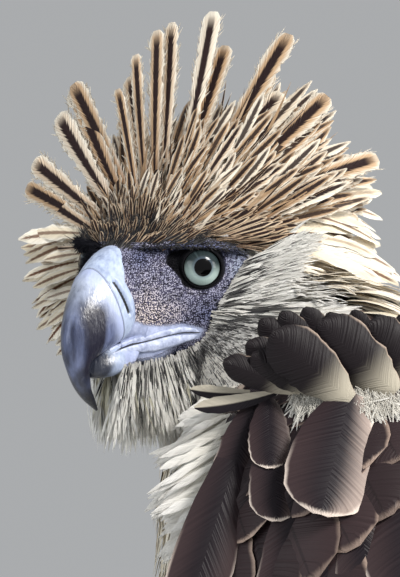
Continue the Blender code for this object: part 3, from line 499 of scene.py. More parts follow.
def lay(tube, place, angle, length, width, chance, outline=BROAD, rows=8, columns=5, lift=0.004,
        base=0.0, turn=0.0, roll=0.0, cup=0.0010, fray=0.06, sink=0.003, curl=0.0):
    """Feathers that lie along a tube towards its place 0, with their tips lifted off it."""
    place, angle, length, width, lift, base, turn, curl = (
        np.broadcast_to(np.asarray(value, float), np.shape(place))[:, None]
        for value in (place, angle, length, width, lift, base, turn, curl)
    )
    t = np.linspace(0.0, 1.0, rows)[None, :]
    u = np.linspace(-1.0, 1.0, columns)[None, None, :]
    here = place - length / tube.length * t * np.cos(turn)
    over = np.minimum(here, 0.0) * tube.length
    here = np.maximum(here, 0.0)
    row = tube.row(here)
    tall = np.where(np.sin(angle) > 0.0, row[..., 4], row[..., 5])
    radius = 0.5 * (row[..., 3] + tall)
    middle = angle + (length * t * np.sin(turn) + curl * length * t**2) / radius
    half = 0.5 * width * widths_along(outline, rows)[None, :]
    spread = half[..., None] * u * ragged(chance, place.shape[0], rows, columns, fray)
    high = base - sink + (lift + sink) * (1.0 - (1.0 - t) ** 2)
    high = high[..., None] - cup * u**2 * widths_along(outline, rows)[None, :, None] + roll * spread
    points, _, along = tube.at(here[..., None], middle[..., None] + spread / radius[..., None], high)
    points = points + along * over[..., None, None]
    return points, u


def stand(root, direction, face, length, width, chance, outline=STRAP, rows=12, columns=5, bend=0.0,
          sweep=0.0, cup=0.25, fray=0.06, droop=0.0):
    """Feathers that leave their root in a direction; face is the way their upper side looks."""
    root, direction, face = (np.asarray(value, float) for value in (root, direction, face))
    length, width, bend, sweep, droop = (
        np.broadcast_to(np.asarray(value, float), root.shape[:1])[:, None, None]
        for value in (length, width, bend, sweep, droop)
    )
    direction = unit(direction)
    side = unit(np.cross(direction, face))
    face = np.cross(side, direction)
    t = np.linspace(0.0, 1.0, rows)[None, :, None]
    u = np.linspace(-1.0, 1.0, columns)[None, None, :, None]
    middle = root[:, None] + direction[:, None] * (length * t) + face[:, None] * (bend * length * t**2)
    middle = middle + side[:, None] * (sweep * length * t**2)
    middle = middle - np.array([0.0, 0.0, 1.0]) * (droop * length * t**2)
    half = 0.5 * width * widths_along(outline, rows)[None, :, None]
    across = half[:, :, None] * u * ragged(chance, len(root), rows, columns, fray)[..., None]
    points = middle[:, :, None] + side[:, None, None] * across
    points = points - face[:, None, None] * (cup * half[:, :, None] * u**2)
    return points, u[..., 0]


print("feather shapes ready")

# %% [markdown]
# The eagle's plumage has four looks: buff feathers with a black-brown streak, white ones with at
# most a thin brown shaft, dark brown ones with a pale fringe, and barred tail feathers. Each could
# be a picture on a card, but the rules are simple enough to work out from across, along and tone.
# Barbs run outwards and forwards from the shaft, so a fine noise that follows them breaks up the
# colours and lifts the surface a little.

# %% Feather finishes
DARK_STREAK = (0.022, 0.010, 0.010)
BUFF = (0.60, 0.41, 0.25)
TAN = (0.36, 0.19, 0.095)
CREAM_EDGE_AND_GLINT = (0.86, 0.81, 0.70)
WHITE = (0.88, 0.85, 0.77)
DARK_BROWN = (0.0130, 0.0078, 0.0105)
MID_BROWN = (0.050, 0.030, 0.031)
FRINGE = (0.66, 0.50, 0.41)


def plumage(name, roughness=0.62, sheen=0.0):
    """A feather's material with its numbers and the pattern of its barbs."""
    material, shade, shader = finish_of(name, roughness, sheen=sheen, specular=0.2)
    across = shade.attribute("across")
    along = shade.attribute("along")
    tone = shade.attribute("tone")
    barb = shade.node(
        "ShaderNodeTexNoise",
        {"W": along * 46.0 - abs(across) * 7.0 + tone * 310.0, "Scale": 1.0, "Detail": 1.0},
        noise_dimensions="1D",
    )
    return material, shade, shader, across, along, tone, barb


def toned(shade, colour, tone, barb, low=(0.72, 0.70, 0.68), high=(1.12, 1.10, 1.08)):
    """The colour made a little lighter or darker from feather to feather and barb to barb."""
    return shade.times(colour, (tone * 0.7 + barb * 0.5).mix(low, high))


def feathered(material, shader, colour, barb, height=0.0003):
    """Give a feather's shader its colour and the relief of its barbs."""
    wire(colour, shader, "Base Color")
    bump(barb, shader, height)
    return material


def streaked(name, web, rim, streak, wide, base, roughness=0.62):
    """Vanes with a dark streak along the shaft, pale rims and a warmer base."""
    material, shade, shader, across, along, tone, barb = plumage(name, roughness)
    side = abs(across)
    colour = (side + (barb - 0.5) * 0.5).rise(0.55, 1.0).mix(web, rim)
    colour = (tone.rise(0.45, 1.0) * 0.8).mix(colour, rim)
    colour = ((1.0 - along.rise(0.05, 0.60)) * (1.0 - tone * 0.75)).mix(colour, base)
    edge = side + (barb - 0.5) * 0.30
    reach = along.rise(0.0, 0.7) * 0.45 + 0.55
    line = (1.0 - (edge - reach * wide).rise(-0.08, 0.14)) * (1.0 - along.rise(0.90, 0.99) * 0.7)
    colour = (line * shade.attribute("mark")).mix(colour, streak)
    colour = (along.rise(0.95, 1.0) * tone).mix(colour, rim)
    return feathered(material, shader, toned(shade, colour, tone, barb), barb, 0.0004)


def fringed(name, dark, light, fringe, roughness=0.5):
    """Dark vanes with a lighter trailing web and a pale fringe round the tip."""
    material, shade, shader, across, along, tone, barb = plumage(name, roughness, 0.05)
    side = abs(across)
    web = (across.rise(0.0, 1.0) * along.rise(0.2, 0.9)).maths("MULTIPLY", tone * 0.6 + 0.5)
    colour = web.mix(dark, light)
    colour = (1.0 - along.rise(0.02, 0.30)).mix(colour, (0.42, 0.34, 0.28))
    shaft = (1.0 - side.rise(0.015, 0.05)) * 0.6
    colour = shaft.mix(colour, (0.012, 0.007, 0.008))
    ring = side.rise(0.86, 1.0) * along.rise(0.30, 0.75)
    rim = ring.top((along + side * side * 0.05 + (barb - 0.5) * 0.03).rise(0.945, 1.0))
    colour = (rim * shade.attribute("mark")).mix(colour, fringe)
    return feathered(material, shader, toned(shade, colour, tone, barb), barb)


def plain_feather(name, colour, tip, base, roughness=0.7):
    """Soft pale vanes, with a thin brown shaft line where the feather is marked."""
    material, shade, shader, across, along, tone, barb = plumage(name, roughness, 0.3)
    mixed = along.rise(0.25, 0.9).mix(colour, tip)
    # The root is darker: partly the down's own warmer colour, partly painted shade where the feathers
    # overlap.
    mixed = (1.0 - along.rise(0.0, 0.35)).mix(mixed, base)
    line = (1.0 - (abs(across) + (barb - 0.5) * 0.3).rise(0.08, 0.34)) * along.rise(0.25, 0.6)
    mixed = (line * shade.attribute("mark")).mix(mixed, (0.15, 0.062, 0.028))
    shown = toned(shade, mixed, tone, barb, (0.86, 0.84, 0.80), (1.06, 1.06, 1.06))
    return feathered(material, shader, shown, barb)


def barred(name):
    """Brown tail and flight feathers with darker bars and a pale tip."""
    material, shade, shader, across, along, tone, barb = plumage(name, 0.48, 0.04)
    wave = (along * 5.0 + (barb - 0.5) * 0.10 + abs(across) * 0.12).maths("FRACT")
    bars = (wave.rise(0.52, 0.62) * (1.0 - wave.rise(0.90, 1.0))) * 0.75
    colour = (across.rise(-0.2, 0.9) * 0.8).mix((0.060, 0.034, 0.030), (0.145, 0.090, 0.068))
    colour = (bars * shade.attribute("mark")).mix(colour, (0.020, 0.011, 0.012))
    colour = (1.0 - abs(across).rise(0.02, 0.06)).mix(colour, (0.16, 0.11, 0.08))
    colour = along.rise(0.965, 1.0).mix(colour, (0.62, 0.50, 0.38))
    return feathered(material, shader, toned(shade, colour, tone, barb), barb)


def ruffled(name):
    """Scapulars: pale at the root, near-black at the tip, with a thin light edge; blades are pale below."""
    material, shade, shader, across, along, tone, barb = plumage(name, 0.5)
    pale = (along + (barb - 0.5) * 0.08 + tone * 0.14).rise(0.16, 0.56)
    colour = pale.mix((0.40, 0.37, 0.30), (0.0080, 0.0052, 0.0070))
    rim = across.rise(0.90, 1.0) * (1.0 - along.rise(0.70, 0.90)) * 0.8
    colour = rim.mix(colour, (0.40, 0.31, 0.25))
    blade = across.rise(-0.15, 0.10).mix((0.012, 0.009, 0.013), (0.56, 0.52, 0.43))
    colour = shade.attribute("mark").mix(blade, colour)
    return feathered(material, shader, toned(shade, colour, tone, barb), barb)


def shoulder(name):
    """Broad coverts: dark purplish middle, browner sides, one side paler by the tone, a pale fringe."""
    material, shade, shader, across, along, tone, barb = plumage(name, 0.5)
    side = abs(across)
    glow = (side + (barb - 0.5) * 0.12).rise(0.05, 1.0) * (along.rise(0.05, 0.6) * 0.5 + 0.4)
    colour = glow.mix((0.0105, 0.0066, 0.0105), (0.062, 0.038, 0.039))
    across = 0.0 - across
    paler = (across + (barb - 0.5) * 0.2).rise(0.10, 0.95) * tone
    colour = paler.mix(colour, (0.50, 0.40, 0.345))
    colour = (1.0 - side.rise(0.012, 0.04)).maths("MULTIPLY", 0.5).mix(colour, (0.006, 0.004, 0.005))
    rim = side.rise(0.90, 0.99) * along.rise(0.40, 0.80)
    rim = rim.top((along + side * side * 0.05 + (barb - 0.5) * 0.03).rise(0.955, 1.0))
    rim = rim.top(across.rise(0.80, 0.95) * tone)
    colour = (rim * shade.attribute("mark")).mix(colour, (0.80, 0.69, 0.60))
    shown = shade.times(colour, barb.mix((0.80, 0.78, 0.80), (1.1, 1.1, 1.1)))
    return feathered(material, shader, shown, barb)


def one_tone(name, dark, light, roughness=0.6):
    """Bristles and down: a colour between two, by the mark of each."""
    material, shade, shader = finish_of(name, roughness, specular=0.1)
    wire(shade.attribute("mark").mix(dark, light), shader, "Base Color")
    return material


# The crest's pale rims and tips are partly the vanes' own pale edges and partly painted glints of back light.
CREST_FINISH = streaked("crest_feather", BUFF, CREAM_EDGE_AND_GLINT, DARK_STREAK, 0.36, TAN)
CROWN_FINISH = streaked("crown_feather", (0.46, 0.29, 0.165), (0.70, 0.58, 0.43), DARK_STREAK, 0.50,
                        (0.24, 0.135, 0.085))
NAPE_FINISH = streaked("nape_feather", (0.86, 0.77, 0.60), (0.88, 0.85, 0.76), (0.13, 0.052, 0.026), 0.22,
                       (0.84, 0.76, 0.60), 0.68)
WHITE_FINISH = plain_feather("white_feather", WHITE, (0.92, 0.90, 0.86), (0.76, 0.73, 0.66))
FRINGE_FINISH = plain_feather("fringe_feather", (0.88, 0.87, 0.82), (0.92, 0.91, 0.87), (0.66, 0.65, 0.63))
# The throat's colours are partly its own dull cream and partly painted shade under the bill, darker and
# greener than the white down.
THROAT_CREAM_AND_SHADE_FINISH = plain_feather("throat_feather", (0.60, 0.57, 0.43), (0.76, 0.73, 0.58), (0.42, 0.40, 0.30))
DARK_FINISH = fringed("dark_feather", DARK_BROWN, MID_BROWN, FRINGE)
RUFFLE_FINISH = ruffled("ruffled_feather")
SHOULDER_FINISH = shoulder("shoulder_feather")
TAIL_FINISH = barred("barred_feather")
BRISTLE_FINISH = one_tone("bristle", (0.008, 0.008, 0.012), (0.62, 0.60, 0.55))
print("feather finishes", len(bpy.data.materials))

# %% [markdown]
# Under the feathers there is one skin, a little inside the solids' surface, and the face is its
# only bare part. Skin could be one sculpted mesh, but the same tubes make it in a few lines and
# keep it true to the solids. The face needs what the tube doesn't have: a brow that overhangs the
# eye like a shelf, the hollow round the eye and the swollen fold in front of it. Each is a soft
# function of how far forward of the eyes and how high a point of the head lies.

# %% Relief of the face over the plain skull
BROW_SHELF = np.array([
    (-0.0200, 0.0035, 0.0340), (-0.0140, 0.0048, 0.0372), (-0.0070, 0.0068, 0.0368), (0.0000, 0.0082, 0.0342),
    (0.0065, 0.0088, 0.0304), (0.0120, 0.0092, 0.0236), (0.0180, 0.0092, 0.0166), (0.0235, 0.0084, 0.0090),
])
MOUTH_LINE = np.array([
    (0.0007, -0.0264), (0.0093, -0.0262), (0.0198, -0.0280), (0.0307, -0.0302), (0.0380, -0.0322),
    (0.0440, -0.0345),
])
FOLD_LINE = np.array([(0.0116, -0.0090), (0.0128, -0.0036), (0.0165, 0.0015), (0.0215, 0.0050)])


def soft_step(value, start, end):
    t = np.clip((value - start) / (end - start), 0.0, 1.0)
    return t * t * (3.0 - 2.0 * t)


def hump(ahead, up, centre, reach):
    """1 at a place on the side of the head, fading over a reach forward and a reach upwards."""
    return np.exp(-(((ahead - centre[0]) / reach[0]) ** 2) - ((up - centre[1]) / reach[1]) ** 2)


def mouth_height(ahead):
    return np.interp(ahead, MOUTH_LINE[:, 0], MOUTH_LINE[:, 1])


def distance_to(line, forward, up):
    """How far points on the side of the head lie from a line, both as forward and up."""
    point = np.stack([forward, up], axis=-1)
    best = np.full(np.shape(forward), 1.0)
    for start, end in zip(line, line[1:]):
        step = end - start
        share = np.clip(((point - start) @ step) / (step @ step), 0.0, 1.0)
        best = np.minimum(best, np.linalg.norm(point - (start + share[..., None] * step), axis=-1))
    return best


def with_relief(plain, outward):
    """The plain skull's points with the fold, the eye's hollow and the brow, in the head's frame."""
    ahead, up, out = -plain[..., 1], plain[..., 2], np.abs(plain[..., 0])
    fold_edge = np.interp(up, FOLD_LINE[:, 1], FOLD_LINE[:, 0])
    fold = soft_step(ahead, fold_edge - 0.0004, fold_edge + 0.0008) * soft_step(up, -0.0150, -0.0080)
    fold = fold * (1.0 - soft_step(ahead, fold_edge + 0.003, fold_edge + 0.012))
    fold = fold * (1.0 - soft_step(up, 0.003, 0.008))
    hollow = hump(ahead, up, (0.002, 0.0), (0.0095, 0.0085))
    jaw = hump(ahead, up, (0.0200, -0.0350), (0.0085, 0.0060))
    height = (0.0024 * fold - 0.0026 * hollow + 0.0026 * jaw) * soft_step(out, 0.004, 0.012)
    moved = plain + outward * height[..., None]
    middle = np.interp(ahead, BROW_SHELF[:, 0], BROW_SHELF[:, 1])
    reach = np.interp(ahead, BROW_SHELF[:, 0], BROW_SHELF[:, 2], left=0.0, right=0.0)
    off = (up - middle) / np.where(up < middle, 0.0021, 0.0066)
    shelf = reach * np.sqrt(np.clip(1.0 - off**2, 0.0, 1.0))
    moved[..., 0] = np.sign(plain[..., 0]) * np.maximum(np.abs(moved[..., 0]), shelf)
    return moved


def skull_place(forward):
    """Where distances forward of the eyes lie along the skull."""
    table = np.linspace(0.0, 1.0, 400)
    return np.interp(forward, -SKULL.row(table)[:, 1], table)


print("brow reaches", round(1000.0 * float(BROW_SHELF[:, 2].max()), 1), "mm to the side")

# %% [markdown]
# The bill is two curved halves, each a row of oval sections in the middle plane of the head: the
# top point and the foot point of each, as forward and up, and its half-width. The skin of the
# lores runs on over its root, so the sections are needed before the skin of the head.

# %% Sections of the bill
UPPER_BILL = np.array([
    (0.0205, 0.0100, 0.0270, -0.0285, 0.0165),
    (0.0270, 0.0092, 0.0305, -0.0294, 0.0157),
    (0.0345, 0.0062, 0.0350, -0.0308, 0.0142),
    (0.0430, 0.0006, 0.0400, -0.0330, 0.0120),
    (0.0500, -0.0060, 0.0440, -0.0348, 0.0100),
    (0.0555, -0.0140, 0.0470, -0.0364, 0.0082),
    (0.0588, -0.0220, 0.0492, -0.0384, 0.0066),
    (0.0597, -0.0300, 0.0496, -0.0410, 0.0054),
    (0.0576, -0.0380, 0.0478, -0.0442, 0.0045),
    (0.0530, -0.0462, 0.0462, -0.0478, 0.0036),
    (0.0470, -0.0522, 0.0430, -0.0512, 0.0025),
    (0.0392, -0.0568, 0.0386, -0.0560, 0.0006),
])
LOWER_BILL = np.array([
    (0.0275, -0.0270, 0.0290, -0.0404, 0.0132),
    (0.0330, -0.0285, 0.0330, -0.0418, 0.0126),
    (0.0380, -0.0294, 0.0380, -0.0430, 0.0116),
    (0.0425, -0.0318, 0.0425, -0.0434, 0.0095),
    (0.0464, -0.0350, 0.0464, -0.0430, 0.0062),
    (0.0482, -0.0382, 0.0482, -0.0418, 0.0028),
])
NOSTRIL_LINE = np.array([(0.0402, -0.0054), (0.0384, -0.0112), (0.0362, -0.0174)])
LORE_EDGE = np.array([
    (0.0380, -0.0430), (0.0355, -0.0300), (0.0335, -0.0205), (0.0345, -0.0130), (0.0368, -0.0050),
    (0.0335, 0.0030), (0.0275, 0.0100),
])


def smooth_rows(rows, place):
    """A smooth curve through rows of numbers, at places from 0 to 1."""
    reader = Tube([(0.0,) * 6])
    reader.rows = rows
    return reader.row(place)


def bill_surface(rows, share, turn):
    """Points of half the bill and the ways out there, at shares of its length and turns from its top."""
    share, turn = np.broadcast_arrays(share, turn)
    row = smooth_rows(rows, share)
    across = np.array([1.0, 0.0, 0.0])
    top = np.stack([0.0 * share, -row[..., 0], row[..., 1]], axis=-1)
    foot = np.stack([0.0 * share, -row[..., 2], row[..., 3]], axis=-1)
    on_top = 0.5 if rows is LOWER_BILL else 1.0
    round_part = np.sign(np.sin(turn)) * np.abs(np.sin(turn)) ** np.where(np.cos(turn) < 0.0, 0.7, on_top)
    wide = row[..., 4] * round_part * (1.0 - 0.16 * np.cos(turn))
    middle = 0.5 * (top + foot)
    points = middle + 0.5 * (top - foot) * np.cos(turn)[..., None] + wide[..., None] * across
    return points, unit(points - middle)


def lores_on(rows, turn, ring):
    """Rows of skin from the skull's front ring on to half of the bill, as far as the lores' edge."""
    trace = np.linspace(0.0, 0.9, 240)[:, None]
    path, _ = bill_surface(rows, trace, turn[None, :])
    past = -path[..., 1] > np.interp(path[..., 2], LORE_EDGE[:, 1], LORE_EDGE[:, 0])
    end = trace[np.argmax(past, axis=0), 0]
    run = np.linspace(0.0, 1.0, 31)[1:, None]
    points, outward = bill_surface(rows, end * run, turn[None, :])
    points = points + outward * (0.0007 * (1.0 - run) - 0.0002)[..., None]
    return ring + (points - ring) * soft_step(run, 0.0, 0.5)[..., None]


print("bill is", round(1000.0 * float(UPPER_BILL[:, 4].max()) * 2.0, 1), "mm wide at its root")

# %% [markdown]
# The bare skin of the face is pebbled: pale spots under a millimetre across with dark gaps. It is
# pinkish on the lores, blue-black on the brow and behind the mouth and black round the eye, and it
# turns into smooth pale wax along the mouth. One material mixes all of these by numbers kept on the
# points. The body's skin only shows as the shadow between feathers, and the legs are a dull yellow.
# Scales are a texture that lifts the surface.

# %% Skin finishes
SKIN_FINISH, shade, shader = finish_of("bare_skin", 0.58, specular=0.04)
patches = shade.noise(150.0, 2.0)
mottle = shade.noise(700.0, 2.0)
spot = 1.0 - (shade.pebbles(1450.0) + (mottle - 0.5) * 0.3).rise(0.38, 0.62)
warmth = patches * 0.9 + shade.attribute("warm") * 0.9 - 0.45
light_spot = warmth.mix((0.34, 0.34, 0.46), (0.84, 0.73, 0.70))
face_colour = spot.mix((0.062, 0.060, 0.104), light_spot)
dark_face = (spot * 0.85).mix((0.010, 0.010, 0.022), (0.19, 0.21, 0.36))
face_colour = shade.attribute("blue").mix(face_colour, dark_face)
pale_face = (mottle.rise(0.45, 0.62)).mix((0.44, 0.49, 0.64), (0.06, 0.065, 0.12))
face_colour = shade.attribute("pale").mix(face_colour, pale_face)
wax = (patches * 1.4 + mottle * 0.8 - 0.6).mix((0.21, 0.25, 0.41), (0.54, 0.60, 0.82))
face_colour = shade.attribute("wax").mix(face_colour, wax)
face_colour = shade.attribute("black").mix(face_colour, (0.0035, 0.0035, 0.005))
covered = shade.attribute("brown").mix((0.84, 0.80, 0.72), (0.022, 0.013, 0.013))
wire(shade.attribute("covered").mix(face_colour, covered), shader, "Base Color")
bump(spot * (1.0 - shade.attribute("wax")) + mottle * 0.3, shader, 0.0005)

SCALE_FINISH, shade, shader = finish_of("leg_scales", 0.5, coat=0.1)
scales = shade.node(
    "ShaderNodeTexVoronoi", {"Vector": shade.place(), "Scale": 420.0}, feature="DISTANCE_TO_EDGE",
)
groove = scales.rise(0.0, 0.09)
yellow = shade.noise(60.0).mix((0.42, 0.30, 0.075), (0.60, 0.47, 0.16))
wire(groove.mix((0.20, 0.125, 0.04), yellow), shader, "Base Color")
bump(groove, shader, 0.0006)
print("skin finishes ready")


# %% [markdown]
# Under its feathers a bird is one shape, so body, thighs, arms and legs become one piece. They could
# be joined by booleans, but grids that reach into one another look the same under a coat and keep
# their even faces. Each grid has a part of the bake map to itself.

# %% One skin over the flesh
COAT_DEPTH = 0.0035
skin_points, skin_quads, skin_layout, skin_slots = [], [], [], []
skin_numbers = {"blue": [], "warm": [], "pale": [], "black": [], "wax": [], "brown": [], "covered": []}


def add_skin(points, corner, span, numbers, slot=0):
    """One grid of skin on its own part of the bake map."""
    rows, columns = points.shape[:2]
    first = sum(len(block) for block in skin_points)
    skin_points.append(points.reshape(-1, 3))
    skin_quads.append(grid_quads(1, rows, columns) + first)
    u = corner[0] + span[0] * np.linspace(0.0, 1.0, columns)[None, :]
    v = corner[1] + span[1] * np.linspace(0.0, 1.0, rows)[:, None]
    skin_layout.append(np.stack(np.broadcast_arrays(u, v), axis=-1).reshape(-1, 2))
    skin_slots.append(np.full((rows - 1) * (columns - 1), slot))
    for key, values in skin_numbers.items():
        values.append(np.broadcast_to(numbers.get(key, 0.0), (rows, columns)).reshape(-1))


def upper_side(place, angle):
    """1 on the brown back and 0 on the white front of the body."""
    return soft_step(np.sin(angle), -0.05, 0.25) * (1.0 - soft_step(place, 0.80, 0.90))


round_body = np.linspace(0.5 * math.pi, 2.5 * math.pi, 65)[None, :]
places = np.linspace(0.0, 1.0, 90)[:, None]
add_skin(BODY.at(places, round_body, -COAT_DEPTH)[0], (0.0, 0.0), (0.48, 0.48),
         {"brown": upper_side(places, round_body), "covered": 1.0})
for side in (1.0, -1.0):
    thigh = THIGH.at(np.linspace(0.0, 1.0, 40)[:, None], round_body, -COAT_DEPTH)[0] * (side, 1.0, 1.0)
    add_skin(thigh if side > 0 else thigh[:, ::-1], (0.25 - 0.25 * side, 0.5), (0.23, 0.2), {"covered": 1.0})
    arm = []
    for level in (1.0, -1.0):
        share = np.linspace(0.0, 1.0, 24)[None, ::int(level)]
        edge = np.array([(0.40, 40.0, -14.0), (0.54, 54.0, -28.0), (0.65, 60.0, -38.0), (0.76, 58.0, -31.0),
                         (0.85, 52.0, -13.0), (0.92, 40.0, -4.0), (0.965, 22.0, 6.0)])
        run = np.linspace(0.40, 0.965, 40)
        upper = np.radians(np.interp(run, edge[:, 0], edge[:, 1]))[:, None]
        lower = np.radians(np.interp(run, edge[:, 0], edge[:, 2]))[:, None]
        bulge = np.sqrt(np.clip(1.0 - (2.0 * share - 1.0) ** 2, 0.0, 1.0))
        arm.append(WING_LIE.at(run[:, None], lower + (upper - lower) * share, level * 0.0052 * bulge)[0])
    arm = np.concatenate(arm, axis=1) * (side, 1.0, 1.0)
    add_skin(arm if side > 0 else arm[:, ::-1], (0.25 - 0.25 * side, 0.72), (0.23, 0.2),
             {"brown": 1.0, "covered": 1.0})
print("body skin", sum(len(block) for block in skin_points), "points")

# %% [markdown]
# The head's skin is the skull's tube, finer in front, and its last rows run on over the root of the
# bill, because on the real bird the lores pass into the horn without a step. Numbers on its points
# say where it is blue, warm, pale, black, waxy or covered. Painting them by hand would be freer, but
# a measured place can be put right on its own.

# %% The skin of the head
forward = np.concatenate([np.linspace(-0.074, -0.030, 24)[:-1], np.linspace(-0.030, 0.0245, 110)])
angle = np.linspace(-0.5 * math.pi, 1.5 * math.pi, 289)[None, :]
plain, outward, _ = SKULL.at(skull_place(forward)[:, None], angle)
plain, outward = to_head(plain), outward @ HEAD_TURN
ring, left_or_right = plain[-1], np.where(np.cos(angle[0]) >= 0.0, 1.0, -1.0)
MOUTH_ANGLE = math.radians(-30.0)
ring_low, ring_top = ring[np.argmin(np.abs(angle[0] - MOUTH_ANGLE)), 2], ring[:, 2].max()
level = (ring[:, 2] - ring_low) / (ring_top - ring_low)
upper_turn = left_or_right * np.arccos(np.clip(-0.93 + 1.93 * level, -1.0, 1.0))
lower_turn = left_or_right * (math.pi - 2.0 * np.arccos(np.clip(-np.sin(angle[0]), -1.0, 1.0)))
lores = np.where((level > 0.0)[None, :, None], lores_on(UPPER_BILL, upper_turn, ring),
                 lores_on(LOWER_BILL, lower_turn, ring))
plain = np.concatenate([plain, lores])
outward = np.concatenate([outward, np.broadcast_to(outward[-1:], lores.shape)])
head_points = from_head(with_relief(plain, outward))

ahead, up = -plain[..., 1], plain[..., 2]
side_on = soft_step(np.abs(plain[..., 0]), 0.004, 0.012)
bare = soft_step(ahead, -0.0185, -0.0135) * (1.0 - soft_step(up, 0.0105, 0.0135))
round_eye = np.hypot((ahead - 0.0050) / 0.0104, (up + 0.0004) / 0.0090)
black = (1.0 - soft_step(round_eye, 0.90, 1.02)) * side_on
brow_line = np.interp(ahead, BROW_SHELF[:, 0], BROW_SHELF[:, 1])
blue = np.exp(-(((up - brow_line) / 0.0040) ** 2)) + 0.9 * hump(ahead, up, (0.001, -0.0185), (0.0085, 0.0058))
blue = blue + hump(ahead, up, (0.004, -0.0345), (0.0075, 0.0040))
blue = blue + 0.8 * hump(ahead, up, (0.026, 0.004), (0.006, 0.005))
blue = blue + 0.8 * hump(ahead, up, (-0.010, -0.010), (0.004, 0.006))
pale = hump(ahead, up, (-0.0100, -0.0008), (0.0036, 0.0058)) * side_on
mouth = mouth_height(ahead)
lip_top = np.interp(ahead, (0.0005, 0.009, 0.020, 0.027, 0.035), (0.0014, 0.0034, 0.0046, 0.0066, 0.0105))
lip_top = mouth + lip_top
lip_foot = mouth - np.interp(ahead, (0.0005, 0.009, 0.020, 0.031), (0.0020, 0.0052, 0.0054, 0.0060))
wax = soft_step(up, lip_foot - 0.0006, lip_foot + 0.0002)
wax = wax * (1.0 - soft_step(up, lip_top - 0.0004, lip_top + 0.0010))
jaw = 0.92 * soft_step(ahead, 0.006, 0.016) * (1.0 - soft_step(up, lip_foot - 0.0010, lip_foot))
wax = np.maximum(wax * soft_step(ahead, -0.0008, 0.0014), jaw * soft_step(up, -0.0415, -0.0385))
add_skin(head_points, (0.5, 0.0), (0.5, 0.5), {
    "blue": np.clip(blue, 0.0, 1.0) * side_on, "warm": hump(ahead, up, (0.026, -0.020), (0.012, 0.010)),
    "pale": pale, "black": black, "wax": wax, "covered": 1.0 - bare,
    "brown": 0.75 * soft_step(up, 0.006, 0.020),
})
print("head skin reaches", round(float(ahead.max()) * 1000.0, 1), "mm ahead of the eyes")

# %% [markdown]
# The feet are bare and scaled. On the real bird a row of wide plates runs down the front of each leg
# and over each toe, and small round scales fill the sides. The plates are steps in the surface of
# the tube itself, and the small scales are left to the material, as they are under a millimetre.

# %% Legs and toes
TOES = (
    ("inner", -24.0, 0.052, 0.0090, 0.040),
    ("middle", 4.0, 0.074, 0.0086, 0.036),
    ("outer", 38.0, 0.056, 0.0078, 0.030),
    ("hind", 172.0, 0.042, 0.0092, 0.045),
)
TOE_SHARES = (0.0, 0.20, 0.34, 0.47, 0.60, 0.74, 0.88, 1.0)
TOE_SWELL = (1.00, 1.02, 1.04, 1.00, 0.90, 1.04, 1.00, 0.72)
TOE_END = 0.0122
SHANK_PLATES = 17
SCALE_SLOT = 1
LEG_SPAN = (0.08, 0.2)


def steps_of(place, count):
    """A sawtooth that makes overlapping plates, from 1 at a plate's lip to 0 under the next."""
    return 1.0 - (place * count) % 1.0


def sideways(points, side):
    """A left limb's grid of points, mirrored for the right limb, with its faces still outwards."""
    moved = points * (side, 1.0, 1.0)
    return moved if side > 0 else moved[:, ::-1]


for side in (1.0, -1.0):
    run = np.linspace(0.0, 1.0, 150)[:, None]
    front = soft_step(-np.sin(round_body), 0.35, 0.8)
    raised = 0.0007 * steps_of(1.0 - run, SHANK_PLATES) * front - 0.0002
    shank = sideways(SHANK.at(run, round_body, raised)[0], side)
    add_skin(shank, (0.55 - 0.05 * side, 0.52), LEG_SPAN, {}, SCALE_SLOT)
    base = FOOT + SHIFT
    ring = np.linspace(0.0, 2.0 * math.pi, 33)[None, :]
    level = np.linspace(0.0236, 0.0010, 16)[:, None]
    girth = 0.0118 + 0.0042 * soft_step(-level, -0.020, -0.010)
    girth = girth - 0.0022 * soft_step(-level, -0.006, -0.001)
    palm = np.stack(np.broadcast_arrays(
        base[0] + girth * np.cos(ring), base[1] + 0.003 + girth * np.sin(ring), level), axis=-1)
    add_skin(sideways(palm, side), (0.75 - 0.05 * side, 0.52), LEG_SPAN, {}, SCALE_SLOT)
    for number, (toe, heading, length, radius, _) in enumerate(TOES):
        turn = math.radians(heading)
        onward = np.array([math.sin(turn), -math.cos(turn), 0.0])
        across = np.array([onward[1], -onward[0], 0.0])
        share = np.concatenate([np.linspace(0.0, 1.0, 70), np.linspace(1.0, 1.012, 4)])[:, None]
        size = radius * np.interp(share, TOE_SHARES, TOE_SWELL)
        rounded = np.sqrt(np.clip(1.0 - ((share - 1.0) / TOE_END) ** 2, 0.0, 1.0))
        size = np.where(share > 1.0, size * rounded, size)
        plates = 0.0008 * steps_of(share, 11.0 * length / 0.052) * soft_step(np.cos(ring), 0.2, 0.7)
        size_here = size + plates * soft_step(share, 0.1, 0.25)
        centre = base + onward * (length * share[..., None])
        points = centre + across * (size_here * np.sin(ring))[..., None]
        points[..., 2] = np.maximum(0.70 * size + size_here * np.cos(ring), 0.0002)
        corner = (0.48 + 0.12 * number, 0.875 - 0.125 * side)
        add_skin(sideways(points, side), corner, (0.10, 0.11), {}, SCALE_SLOT)
print("leg skin", sum(len(block) for block in skin_points), "points so far")


# %% [markdown]
# Every fleshy solid is hidden and this one skin shown in their stead, so that no seam is left between
# neck and body. A piece for each solid would be simpler, but its edges would show wherever the coat
# is thin. The same points also make a search tree, with which later steps find the skin along a ray.

# %% Close the skin and let it stand for the flesh
all_points = np.concatenate(skin_points)
skin = mesh_piece(
    "skin", all_points, np.concatenate(skin_quads), SKIN_FINISH,
    {key: np.concatenate(values) for key, values in skin_numbers.items()}, np.concatenate(skin_layout),
)
skin.data.materials.append(SCALE_FINISH)
skin.data.polygons.foreach_set("material_index", np.concatenate(skin_slots).astype(np.int32))
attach(skin, "root")
flesh = ["head", "neck", "torso", "tail"]
flesh += [limb + "_" + side for limb in ("wing", "thigh", "shank", "foot") for side in ("left", "right")]
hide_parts(*flesh)
skin_tree = BVHTree.FromPolygons(
    [Vector(point) for point in all_points], [tuple(face) for face in np.concatenate(skin_quads).tolist()],
)
print("skin stands for", len(flesh), "solids")

